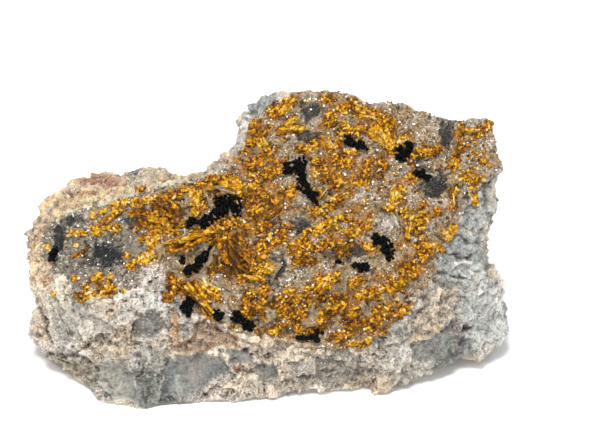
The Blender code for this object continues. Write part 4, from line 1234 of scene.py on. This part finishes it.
def stone_tones(points, normals, shaken, settings):
    """The matrix's tone and specks at each vertex: plain stone, with patches on the display side."""
    places = places_of(points)
    wobble = 0.5 * noise_at(points, 2.4 * MM, octaves=3, seed=1.0)
    wobble = wobble + 0.5 * noise_at(points, 0.9 * MM, octaves=2, seed=8.0)
    broad = noise_at(points, 9.0 * MM, octaves=3, seed=2.0)
    facing = smooth_step(outward(normals), -0.1, 0.3)
    edging = smooth_step(outward(normals), -0.4, 0.0)
    colours = np.tile(np.array(settings.ground), (len(points), 1))
    colours = blended(colours, 0.45 * smooth_step(broad, 0.05, 0.4), STONE["tan"])
    colours = blended(colours, smooth_step(-broad, 0.05, 0.4), STONE["grey_green"])
    streaks = noise_at(points, 5.0 * MM, octaves=2, seed=5.0)
    colours = blended(colours, 0.7 * smooth_step(streaks, 0.2, 0.5), STONE["pink_white"])
    specks = 0.5 + 0.5 * smooth_step(noise_at(points, 6.0 * MM, octaves=2, seed=9.0), -0.2, 0.3)
    for *oval, name in STONE_PATCHES:
        share = in_ellipse(places, *oval, wobble) * edging
        colours = blended(colours, 0.9 * share, STONE[name])
    for name, _, _, outline in CHIPS:
        colours = blended(colours, 0.85 * in_outline(shaken, outline) * facing, STONE[name])
    for u, v, radius, name in PITS:
        share = in_ellipse(shaken, u, v, radius, radius, 0) * facing
        colours = blended(colours, share, STONE[name])
    broken = smooth_step(noise_at(points, 2.4 * MM, octaves=2, seed=14.0), -0.35, 0.2)
    for width, _, name, line in SEAMS:
        share = np.exp(-((from_line(shaken, line) / width) ** 2)) * facing * broken
        colours = blended(colours, 0.85 * share, STONE[name])
    return colours, specks


def stone_nature(shaken, facing):
    """How granular the matrix is at each vertex, and how finely it breaks, each from 0 to 1."""
    granular = np.ones(len(shaken))
    fine = np.zeros(len(shaken))
    for *oval, name in STONE_PATCHES:
        inside = in_ellipse(shaken, *oval) * facing
        if name in GLASSY:
            granular -= 0.5 * inside
        if name in FINE:
            fine = np.maximum(fine, inside)
    for _, _, rough, outline in CHIPS:
        granular[in_outline(shaken, outline) & facing] = rough
    return np.clip(granular, 0.1, 1.0), fine


def bite_depths(shaken, normals):
    """How deep the seams, pits and chips bite at each vertex, in millimetres."""
    depths = np.zeros(len(shaken))
    for width, depth, _, line in SEAMS:
        depths = depths + depth * np.exp(-((from_line(shaken, line) / width) ** 2))
    for u, v, radius, _ in PITS:
        depths = depths + 0.5 * in_ellipse(shaken, u, v, radius, radius, 0)
    depths = depths * smooth_step(outward(normals), 0.0, 0.4)
    for _, depth, _, outline in CHIPS:
        inside = in_outline(shaken, outline) & (outward(normals) > 0.0)
        wall = smooth_step(from_line(shaken, outline + outline[:1]), 0.0, 0.7)
        depths = depths + depth * wall * inside
    return depths


def broken_relief(points, granular, fine, settings):
    """The height of the breaks, chips and grains at each vertex, and a painted light and shade for their
    faces, random from face to face.
    """
    breaks, shade = facets(points, settings.break_size, tilt=1.5)
    chips, chip_shade = facets(points, settings.chip_size, tilt=1.7)
    grains, _ = facets(points, settings.grain_size, tilt=1.9)
    coarse = 1.0 - 0.45 * fine
    heights = settings.break_depth * (breaks - breaks.mean()) * (0.3 + 0.7 * granular) * coarse
    heights += settings.chip_depth * (chips - chips.mean()) * (0.2 + 0.8 * granular) * coarse
    heights += settings.grain_depth * (grains - grains.mean()) * granular
    return heights, 0.74 + 0.3 * shade + 0.2 * chip_shade


def make_stone(settings):
    """The matrix rock: its solid's form with broken faces, chips, grain, seams and pits."""
    rock = node_copy("matrix_rock", "matrix_stone")
    remeshed(rock, settings.voxel)
    points, normals = points_and_normals(rock.data)
    store_group(rock, "unseen", unseen_shares(points, normals))
    modified(rock, "DECIMATE", ratio=settings.kept, vertex_group="unseen")
    rock.vertex_groups.clear()
    points, normals = points_and_normals(rock.data)
    shaken = shaken_places(points)
    granular, fine = stone_nature(shaken, outward(normals) > 0.0)
    heights, painted_facet_light = broken_relief(points, granular, fine, settings)
    for *oval, height in SWELLS:
        heights += height * MM * in_ellipse(shaken, *oval)
    heights -= bite_depths(shaken, normals) * MM
    raise_by(rock, heights * smooth_step(points[:, 2], *FOOT_RISE))
    colours, specks = stone_tones(points, normals, shaken, settings)
    # Painted light and shade: each broken face is made lighter or darker at random, as if it caught more or
    # less light.
    colours = colours * painted_facet_light[:, None]
    store_colours(rock.data, "tone", np.clip(colours, 0.0, 0.95))
    store_values(rock.data, "specks", specks)
    store_values(rock.data, "granular", granular)
    store_ridge(rock.data, rounds=8, reach=0.32 * MM)
    facet_shaded(rock)
    give(rock, stone_finish(settings), "matrix_rock", "matrix_rock")
    return rock


def unseen_shares(points, normals):
    """1 on the back, the underside and under the crust, where the rock's faces may be larger."""
    shares = smooth_step(-outward(normals), -0.2, 0.1)
    crust = Surface([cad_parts["quartz_crust"]])
    for index in np.flatnonzero(shares < 0.5):
        start = Vector(points[index]) + W_AXIS * UNDER_CRUST * MM
        if crust.trees[0].ray_cast(start, W_AXIS)[0] is not None:
            shares[index] = 1.0
    return shares


def gold_share(places, grow):
    """How much uranophane lies over each place, with an edge that grows past the strokes."""
    share = np.zeros(len(places))
    for u0, v0, u1, v1, width, _, _ in GOLD:
        distance = from_line(places, ((u0, v0), (u1, v1)))
        share = np.maximum(share, 1.0 - smooth_step(distance, 0.25 * width, 0.4 * width + grow))
    return share


def shadow_share(places):
    """How strongly the oxide shows through the quartz at each place."""
    share = np.zeros(len(places))
    for *oval, strength in SHADOWED:
        share = np.maximum(share, strength * in_ellipse(places, *oval))
    return share


def druse_tones(points, settings):
    """The druse's tone at each vertex: quartz, with shadowed, stained and milky patches."""
    places = places_of(points)
    fine = noise_at(points, 1.1 * MM, octaves=3, seed=3.0)
    colours = np.tile(np.array(settings.quartz), (len(points), 1))
    left = smooth_step(-places[:, 0], 16.0, 24.0)
    colours = blended(colours, 0.9 * left, GRAIN["left_druse"])
    right = smooth_step(places[:, 0], 20.0, 32.0)
    warm = noise_at(points, 2.4 * MM, octaves=4, seed=6.0) - 0.2 * right
    warm = smooth_step(warm, -0.3, 0.1) * (1.0 - left)
    colours = blended(colours, 0.55 * warm, GRAIN["warm_druse"])
    for *oval, strength in MILKY:
        share = in_ellipse(places, *oval, 0.5 * fine)
        colours = blended(colours, strength * share, settings.milk)
    tinged = 0.9 * gold_share(places + 0.8 * fine[:, None], 1.0) * (1.0 - 0.7 * left)
    colours = blended(colours, tinged, settings.stain)
    for *oval, strength in SHADOWED:
        share = in_ellipse(places, *oval, 0.9 * fine)
        colours = blended(colours, math.sqrt(strength) * share, settings.shadow)
    return colours


def make_druse(settings):
    """The crust's ground: clumps of crystals, with an edge that laps the rock."""
    crust = node_copy("quartz_crust", "druse_ground")
    remeshed(crust, CRUST_BED)
    _, normals = points_and_normals(crust.data)
    store_group(crust, "edge", 1.0 - smooth_step(np.abs(outward(normals)), 0.35, 0.8))
    modified(crust, "DISPLACE", strength=settings.lap, mid_level=0.0, vertex_group="edge")
    modified(crust, "DISPLACE", strength=settings.swell, mid_level=0.0)
    crust.vertex_groups.clear()
    remeshed(crust, settings.voxel)
    points, _ = points_and_normals(crust.data)
    store_colours(crust.data, "tone", druse_tones(points, settings))
    relief(crust, "VORONOI", settings.clump_size, -settings.clump_height, level=0.35)
    relief(crust, "CLOUDS", 0.8 * MM, 0.4 * MM, noise_depth=2)
    relief(crust, "VORONOI", 0.6 * MM, -0.3 * MM, level=0.4)
    store_ridge(crust.data, rounds=5, reach=0.28 * MM)
    facet_shaded(crust)
    give(crust, druse_finish(settings), "quartz", "quartz_crust")
    return crust


def blade_between(copies, surface, start, end, width, lift, tint, dice):
    """Lays one blade over the surface from one place of the display face to another."""
    foot = surface.under(*start)
    head = surface.under(*end)
    if foot is None or head is None:
        return
    rise = (head[0] - foot[0]).dot(W_AXIS)
    if abs(rise) > STEEP * (head[0] - foot[0]).length:
        return
    root = foot[0] + W_AXIS * dice.uniform(-0.15, 0.25) * MM
    tip = head[0] + W_AXIS * lift
    run = tip - root
    thickness = width * dice.uniform(0.4, 0.75)
    scale = (width / 2, thickness / 2, run.length)
    copies.add(turned(run.normalized(), dice.uniform(-0.6, 0.6), scale, root), tint)


def stand(copies, place, normal, heading, lean, length, width, tint, dice):
    """Sets one short crystal on the surface, leaning from upright towards its heading."""
    along = U_AXIS * math.cos(heading) + V_AXIS * math.sin(heading)
    direction = (normal * math.cos(lean) + along * math.sin(lean)).normalized()
    scale = (width / 2, width / 2 * dice.uniform(0.6, 1.0), length)
    copies.add(turned(direction, dice.uniform(0, ANY_ROLL), scale, place - direction * length * 0.3), tint)


def lay_crystal(copies, surface, u, v, heading, aligned, shade, settings, dice):
    """Lays one short crystal over the surface at a place, along a heading if it is aligned."""
    found = surface.under(u, v)
    if found is None:
        return
    straight = dice.random() < aligned
    if straight:
        heading = heading + dice.choice((0, math.pi)) + dice.gauss(0.0, 0.2)
    else:
        heading = dice.uniform(0, ANY_ROLL)
    lean = math.radians(dice.uniform(72, 90) if straight else dice.uniform(25, 85))
    length = dice.uniform(1.0, 2.1) * MM if straight else dice.uniform(0.5, 1.1) * MM
    width = settings.blade_width * dice.uniform(0.7, 1.5)
    normal = (found[1] + W_AXIS).normalized()
    stand(copies, found[0], normal, heading, lean, length, width, shade + dice.gauss(0.0, 0.3), dice)


def lay_stroke(copies, surface, stroke, settings, dice):
    """Fills one stroke of uranophane with short crystals."""
    u0, v0, u1, v1, width, shade, aligned = stroke
    run = math.hypot(u1 - u0, v1 - v0)
    heading = math.atan2(v1 - v0, u1 - u0)
    for _ in range(round((run + width) * width * settings.crowd)):
        share = dice.random()
        side = dice.gauss(0.0, 0.27) * width
        u = u0 + (u1 - u0) * share - math.sin(heading) * side
        v = v0 + (v1 - v0) * share + math.cos(heading) * side
        if width > 1.0 and in_gap(u, v):
            continue
        lay_crystal(copies, surface, u, v, heading, 0.8 * aligned, shade, settings, dice)


def mass_of(node, name, faces, swell):
    """A solid of the frame in small even faces, a little larger than it was."""
    mass = node_copy(node, name)
    remeshed(mass, faces)
    modified(mass, "DISPLACE", strength=swell, mid_level=0.0)
    return mass


def root_mass(name, node, settings, shade):
    """The solid root of a sheaf, roughened along its own form."""
    mass = mass_of(node, name, ROOT_FACES, settings.swell)
    relief(mass, "CLOUDS", 0.5 * MM, 0.4 * MM, noise_depth=2)
    facet_shaded(mass)
    count = len(mass.data.vertices)
    store_values(mass.data, "tint", np.full(count, shade - 0.15))
    store_values(mass.data, "along", np.full(count, 0.3))
    points, _ = points_and_normals(mass.data)
    places = places_of(points)
    bare = np.array([0.9 * in_gap(u, v) for u, v, _ in places])
    store_values(mass.data, "clear", np.maximum(bare, 0.85 * (1.0 - gold_share(places, 0.9))))
    return mass


def in_gap(u, v):
    """Whether the crystals leave the druse bare at a place."""
    return noise.noise(Vector((u, v, 3.0)) / GAP_SIZE) < GAP_LEVEL


def stroke_gap(stroke, u, v):
    """How far a place lies outside a stroke of uranophane, in millimetres."""
    u0, v0, u1, v1, width, _, _ = stroke
    run = (u1 - u0, v1 - v0)
    share = ((u - u0) * run[0] + (v - v0) * run[1]) / (run[0] ** 2 + run[1] ** 2)
    share = min(1.0, max(0.0, share))
    return math.hypot(u - u0 - share * run[0], v - v0 - share * run[1]) - width / 2


def nearest_stroke(u, v):
    """The stroke of uranophane nearest to a place, and how far outside it the place lies."""
    stroke = min(GOLD, key=lambda stroke: stroke_gap(stroke, u, v))
    return stroke, stroke_gap(stroke, u, v)


def lay_fan(copies, surface, sheaf, shade, settings, dice):
    """Fills a fan with long blades that run together in a few bundles."""
    _, u, v, heading, spread, length = sheaf
    last = BUNDLES - 1
    bundles = [heading + spread * (step / last - 0.5 + dice.uniform(-0.1, 0.1)) for step in range(BUNDLES)]
    shades = [shade + dice.gauss(0.0, 0.2) for _ in bundles]
    for _ in range(round(math.radians(spread) * length * length / 2 * settings.blades)):
        bundle = dice.randrange(BUNDLES)
        angle = math.radians(bundles[bundle] + dice.gauss(0.0, 0.05 * spread))
        begin = length * 0.75 * dice.random() ** 0.9
        reach = min(length * dice.uniform(0.85, 1.05), begin + dice.uniform(1.6, 4.0))
        bend = angle + dice.gauss(0.0, 0.03)
        start = (u + math.cos(angle) * begin, v + math.sin(angle) * begin)
        end = (u + math.cos(bend) * reach, v + math.sin(bend) * reach)
        width = settings.blade_width * dice.uniform(1.0, 2.4)
        tint = shades[bundle] + dice.gauss(0.0, 0.2)
        if nearest_stroke(*end)[1] < 0.5:
            blade_between(copies, surface, start, end, width, dice.uniform(0.1, 0.5) * MM, tint, dice)


def cover_mass(copies, mass, shade, settings, dice):
    """Covers a root mass with short crystals that stand every way."""
    faces = [face for face in mass.data.polygons if face.normal.dot(W_AXIS) > -0.3]
    areas = [face.area for face in faces]
    for face in dice.choices(faces, areas, k=round(sum(areas) / MM / MM * settings.crowd)):
        u, v, _ = places_of(np.array([face.center]))[0]
        if in_gap(u, v) or nearest_stroke(u, v)[1] > dice.uniform(0.0, 0.8):
            continue
        heading = dice.uniform(0, 2 * math.pi)
        lean = math.radians(dice.uniform(20, 80))
        width = settings.blade_width * dice.uniform(0.7, 1.4)
        tint = shade + dice.gauss(0.0, 0.3)
        stand(copies, face.center, face.normal, heading, lean, dice.uniform(0.5, 1.1) * MM, width, tint, dice)


def make_sheaves(settings, surface, blade, material):
    """Each sheaf of the frame: its root mass under a fan of blades or a coat of short crystals."""
    pieces = []
    for index, sheaf in enumerate(SHEAVES):
        name, u, v, heading, _, length = sheaf
        dice = random.Random(SHEAF_SEED + index)
        middle = math.radians(heading)
        stroke, _ = nearest_stroke(u + 0.5 * length * math.cos(middle), v + 0.5 * length * math.sin(middle))
        *_, shade, _ = stroke
        mass = root_mass(f"sheaf_{name}", f"uranophane_{name}", settings, shade)
        copies = Copies(blade)
        cover_mass(copies, mass, shade, settings, dice)
        if name in FANNED:
            lay_fan(copies, surface, sheaf, shade, settings, dice)
        copies.joined_to(mass, f"blades_{name}")
        give(mass, material, "uranophane", f"uranophane_{name}")
        pieces.append(mass)
    return pieces


def make_flecks(settings, surface, blade, material):
    """The loose uranophane between the sheaves: strokes, stray crystals and single needles."""
    dice = random.Random(FLECK_SEED)
    halves = Halves(blade)
    for stroke in GOLD:
        lay_stroke(halves.over(stroke[0]), surface, stroke, settings, dice)
    tries = np.array([[dice.uniform(*side) for side in CRYSTAL_FIELD] for _ in range(settings.flecks)])
    for (u, v), dark in zip(tries, shadow_share(tries)):
        found = surface.under(u, v)
        if found is None or found[2] != ON_DRUSE or dark > 0.3:
            continue
        if nearest_stroke(u, v)[1] > dice.uniform(0.0, 3.0):
            continue
        if in_gap(u, v) or noise.fractal(Vector((u, v, 0.0)) / FLECK_PATCH, *FRACTAL, 3) < 0.0:
            continue
        lay_crystal(halves.over(u), surface, u, v, 0.0, 0.0, dice.uniform(0.1, 0.7), settings, dice)
    # Painted glints in part: the single needles take the tint at the cream end of the ramp.
    needle = (NEEDLE_WIDTH, NEEDLE_LIFT, NEEDLE_GLINT_TINT)
    for u0, v0, u1, v1 in NEEDLES:
        blade_between(halves.over(u0), surface, (u0, v0), (u1, v1), *needle, dice)
    return halves.given("uranophane_flecks", material, "uranophane")


def lay_grain(copies, surface, lobe, settings, dice):
    """Lays one oxide grain somewhere in a lobe of its cluster."""
    u, v, half_length, half_width, turn = lobe
    angle = dice.uniform(0, 2 * math.pi)
    reach = math.sqrt(dice.random()) * dice.uniform(0.85, 1.25)
    along = half_length * reach * math.cos(angle)
    across = half_width * reach * math.sin(angle)
    lean = math.radians(turn)
    found = surface.under(
        u + along * math.cos(lean) - across * math.sin(lean),
        v + along * math.sin(lean) + across * math.cos(lean),
    )
    if found is None:
        return
    size = settings.grain / 2 * dice.uniform(0.6, 1.3)
    scale = (size, size * dice.uniform(0.6, 1.0), size * dice.uniform(0.6, 1.0))
    direction = (found[1] + Vector([dice.uniform(-0.8, 0.8) for _ in range(3)])).normalized()
    lifted = found[0] + W_AXIS * size * dice.uniform(0.0, 0.9)
    copies.add(turned(direction, dice.uniform(0, ANY_ROLL), scale, lifted), 0.0)


def make_oxide(settings, surface):
    """Each oxide cluster: its solid under a heap of small angular grains."""
    deselect()
    bpy.ops.mesh.primitive_ico_sphere_add(subdivisions=1, radius=1.0)
    grain = bpy.context.object
    relief(grain, "CLOUDS", 0.9, 0.7)
    material = oxide_finish(settings)
    for index, (name, lobes) in enumerate(OXIDE.items()):
        dice = random.Random(OXIDE_SEED + index)
        mass = mass_of(f"black_oxide_{name}", f"oxide_{name}", OXIDE_FACES, settings.swell)
        relief(mass, "VORONOI", 0.6 * MM, -0.5 * MM, level=0.3)
        facet_shaded(mass)
        copies = Copies(grain)
        for lobe in lobes:
            for _ in range(round(math.pi * lobe[2] * lobe[3] * settings.grains)):
                lay_grain(copies, surface, lobe, settings, dice)
        copies.joined_to(mass, f"grains_{name}")
        give(mass, material, "black_oxide", f"black_oxide_{name}")
    discard(grain)


def make_points(settings, druse, sheaves):
    """The sparkling skin of clear quartz points, on the crust and thinly on the sheaves, and points painted
    white among them as painted glints.
    """
    dice = random.Random(POINT_SEED)
    point = drawn_point("quartz_point", sides=6, rise=1.5, taper=0.8, tip=2.3)
    halves = Halves(point)
    bright = Copies(point)
    discard(point)
    areas = values_of(druse.data.polygons, "area")
    centres = values_of(druse.data.polygons, "center", 3)
    normals = values_of(druse.data.polygons, "normal", 3)
    places = places_of(centres)
    weights = areas * smooth_step(outward(normals), -0.35, 0.1) * (1.0 - 0.95 * shadow_share(places))
    for lobes in OXIDE.values():
        for lobe in lobes:
            weights = weights * (1.0 - 0.92 * in_ellipse(places, *lobe))
    weights = weights / weights.sum()
    for index in np.random.default_rng(POINT_SEED).choice(len(weights), settings.count, p=weights):
        copies = halves.over(places[index, 0])
        place_point(copies, Vector(centres[index]), Vector(normals[index]), settings, dice)
    cover = Surface(sheaves)
    for _ in range(settings.count):
        u, v = [dice.uniform(*side) for side in POINT_FIELD]
        if nearest_stroke(u, v)[1] < 0.3 and dice.random() > settings.density:
            continue
        found = cover.under(u, v)
        if found is not None:
            place_point(halves.over(u), found[0], found[1], settings, dice)
    halves.given("quartz_points", point_finish(settings), "quartz")
    # Painted glints: white points scattered over the druse in place of the sparkle of light.
    for index in np.random.default_rng(BRIGHT_SEED).choice(len(weights), settings.bright, p=weights):
        place = Vector(centres[index]) + W_AXIS * BRIGHT_LIFT * MM
        place_point(bright, place, Vector(normals[index]), settings, dice)
    give(bright.gathered("painted_glint_points"), painted_glint_finish(settings), "quartz")


def place_point(copies, place, normal, settings, dice):
    """Stands one quartz point on the surface, leaning as it likes."""
    lean = Vector([dice.uniform(-0.7, 0.7) for _ in range(3)])
    direction = (normal * 0.7 + W_AXIS * 0.5 + lean).normalized()
    size = settings.size / 2 * min(2.0, dice.lognormvariate(0.0, 0.32))
    scale = (size, size, size * dice.uniform(0.8, 1.5))
    turn = turned(direction, dice.uniform(0, ANY_ROLL), scale, place - direction * size * POINT_SINK)
    copies.add(turn, dice.random())


def make_stage(settings):
    """A pale floor, soft light from above, small hard lights that make the points sparkle, and the camera."""
    deselect()
    bpy.ops.mesh.primitive_plane_add(size=4.0, location=(0, 0, 0))
    floor = bpy.context.object
    floor.name = "floor"
    finish = Finish("floor_paper")
    floor.data.materials.append(finish.surface(base_color=(*settings.floor, 1.0), roughness=0.9))
    world = bpy.data.worlds.new("surround")
    world.use_nodes = True
    background = world.node_tree.nodes["Background"]
    background.inputs["Color"].default_value = (1.0, 1.0, 1.0, 1.0)
    background.inputs["Strength"].default_value = settings.surround
    bpy.context.scene.world = world
    centre = at(*LIT_PLACE)
    place_light("key", centre, KEY_OFFSET, KEY_SIZE, settings.key)
    place_light("fill", centre, FILL_OFFSET, FILL_SIZE, settings.key * FILL_SHARE)
    for index, offset in enumerate(SPARKS):
        place_light(f"spark_{index}", centre, offset, SPARK_SIZE, settings.spark)
    place = at(*SEEN_PLACE) + W_AXIS * (settings.frame_width * settings.lens / SENSOR)
    bpy.ops.object.camera_add(location=place, rotation=(FACE_LEAN, 0.0, 0.0))
    camera = bpy.context.object
    camera.data.lens = settings.lens
    camera.data.sensor_width = SENSOR
    camera.data.clip_start = 0.05
    camera.data.clip_end = 10.0
    bpy.context.scene.camera = camera
    bpy.context.scene.view_settings.view_transform = "Standard"


def place_light(name, target, offset, size, power):
    """A round area light aimed at the specimen."""
    offset = Vector(offset)
    turn = offset.to_track_quat("Z", "Y").to_euler()
    bpy.ops.object.light_add(type="AREA", location=target + offset, rotation=turn)
    light = bpy.context.object
    light.name = name
    light.data.shape = "DISK"
    light.data.size = size
    light.data.energy = power


# ---------------------------------------------------------------- operators and panel


MADE = {}  # what the operators have made, for the ones that build on it


class SPECIMEN_OT_stone(bpy.types.Operator):
    """Dress the matrix rock"""

    bl_idname = "specimen.stone"
    bl_label = "Matrix Rock"

    def execute(self, context):
        MADE["stone"] = make_stone(context.scene.specimen_stone)
        return {"FINISHED"}


class SPECIMEN_OT_druse(bpy.types.Operator):
    """Dress the quartz crust"""

    bl_idname = "specimen.druse"
    bl_label = "Quartz Druse"

    def execute(self, context):
        MADE["druse"] = make_druse(context.scene.specimen_druse)
        return {"FINISHED"}


class SPECIMEN_OT_sheaves(bpy.types.Operator):
    """Grow the uranophane: the sheaves, the flecks and the single needles"""

    bl_idname = "specimen.sheaves"
    bl_label = "Uranophane"

    def execute(self, context):
        settings = context.scene.specimen_sheaves
        blade = drawn_point("blade", sides=4, rise=0.9, taper=0.85, tip=1.0)
        solids = [obj for name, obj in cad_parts.items() if name.startswith("uranophane")]
        surface = Surface([MADE["stone"], MADE["druse"]] + solids)
        material = sheaf_finish(settings)
        MADE["sheaves"] = make_sheaves(settings, surface, blade, material)
        MADE["flecks"] = make_flecks(settings, surface, blade, material)
        discard(blade)
        return {"FINISHED"}


class SPECIMEN_OT_oxide(bpy.types.Operator):
    """Heap the black oxide clusters"""

    bl_idname = "specimen.oxide"
    bl_label = "Black Oxide"

    def execute(self, context):
        solids = [obj for name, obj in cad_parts.items() if name.startswith("black_oxide")]
        surface = Surface([MADE["stone"], MADE["druse"]] + solids)
        make_oxide(context.scene.specimen_oxide, surface)
        return {"FINISHED"}


class SPECIMEN_OT_points(bpy.types.Operator):
    """Scatter the clear quartz points"""

    bl_idname = "specimen.points"
    bl_label = "Quartz Points"

    def execute(self, context):
        make_points(context.scene.specimen_points, MADE["druse"], MADE["sheaves"] + MADE["flecks"])
        return {"FINISHED"}


class SPECIMEN_OT_stage(bpy.types.Operator):
    """Set the floor, the lights and the camera"""

    bl_idname = "specimen.stage"
    bl_label = "Stage"

    def execute(self, context):
        make_stage(context.scene.specimen_stage)
        return {"FINISHED"}


GROUPS = (
    ("specimen_stone", StoneSettings, SPECIMEN_OT_stone),
    ("specimen_druse", DruseSettings, SPECIMEN_OT_druse),
    ("specimen_sheaves", SheafSettings, SPECIMEN_OT_sheaves),
    ("specimen_oxide", OxideSettings, SPECIMEN_OT_oxide),
    ("specimen_points", PointSettings, SPECIMEN_OT_points),
    ("specimen_stage", StageSettings, SPECIMEN_OT_stage),
)


class SPECIMEN_PT_panel(bpy.types.Panel):
    """The specimen's pieces and their settings"""

    bl_label = "Specimen"
    bl_idname = "SPECIMEN_PT_panel"
    bl_space_type = "VIEW_3D"
    bl_region_type = "UI"
    bl_category = "Specimen"

    def draw(self, context):
        for name, settings, operator in GROUPS:
            box = self.layout.box()
            box.operator(operator.bl_idname)
            for key in settings.__annotations__:
                box.prop(getattr(context.scene, name), key)


def register():
    for name, settings, operator in GROUPS:
        bpy.utils.register_class(settings)
        bpy.utils.register_class(operator)
        setattr(bpy.types.Scene, name, PointerProperty(type=settings))
    bpy.utils.register_class(SPECIMEN_PT_panel)


def unregister():
    bpy.utils.unregister_class(SPECIMEN_PT_panel)
    for name, settings, operator in reversed(GROUPS):
        delattr(bpy.types.Scene, name)
        bpy.utils.unregister_class(operator)
        bpy.utils.unregister_class(settings)


def main():
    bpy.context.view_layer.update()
    register()
    bpy.ops.specimen.stone()
    bpy.ops.specimen.druse()
    bpy.ops.specimen.sheaves()
    bpy.ops.specimen.oxide()
    bpy.ops.specimen.points()
    bpy.ops.specimen.stage()


if __name__ == "__main__":
    main()
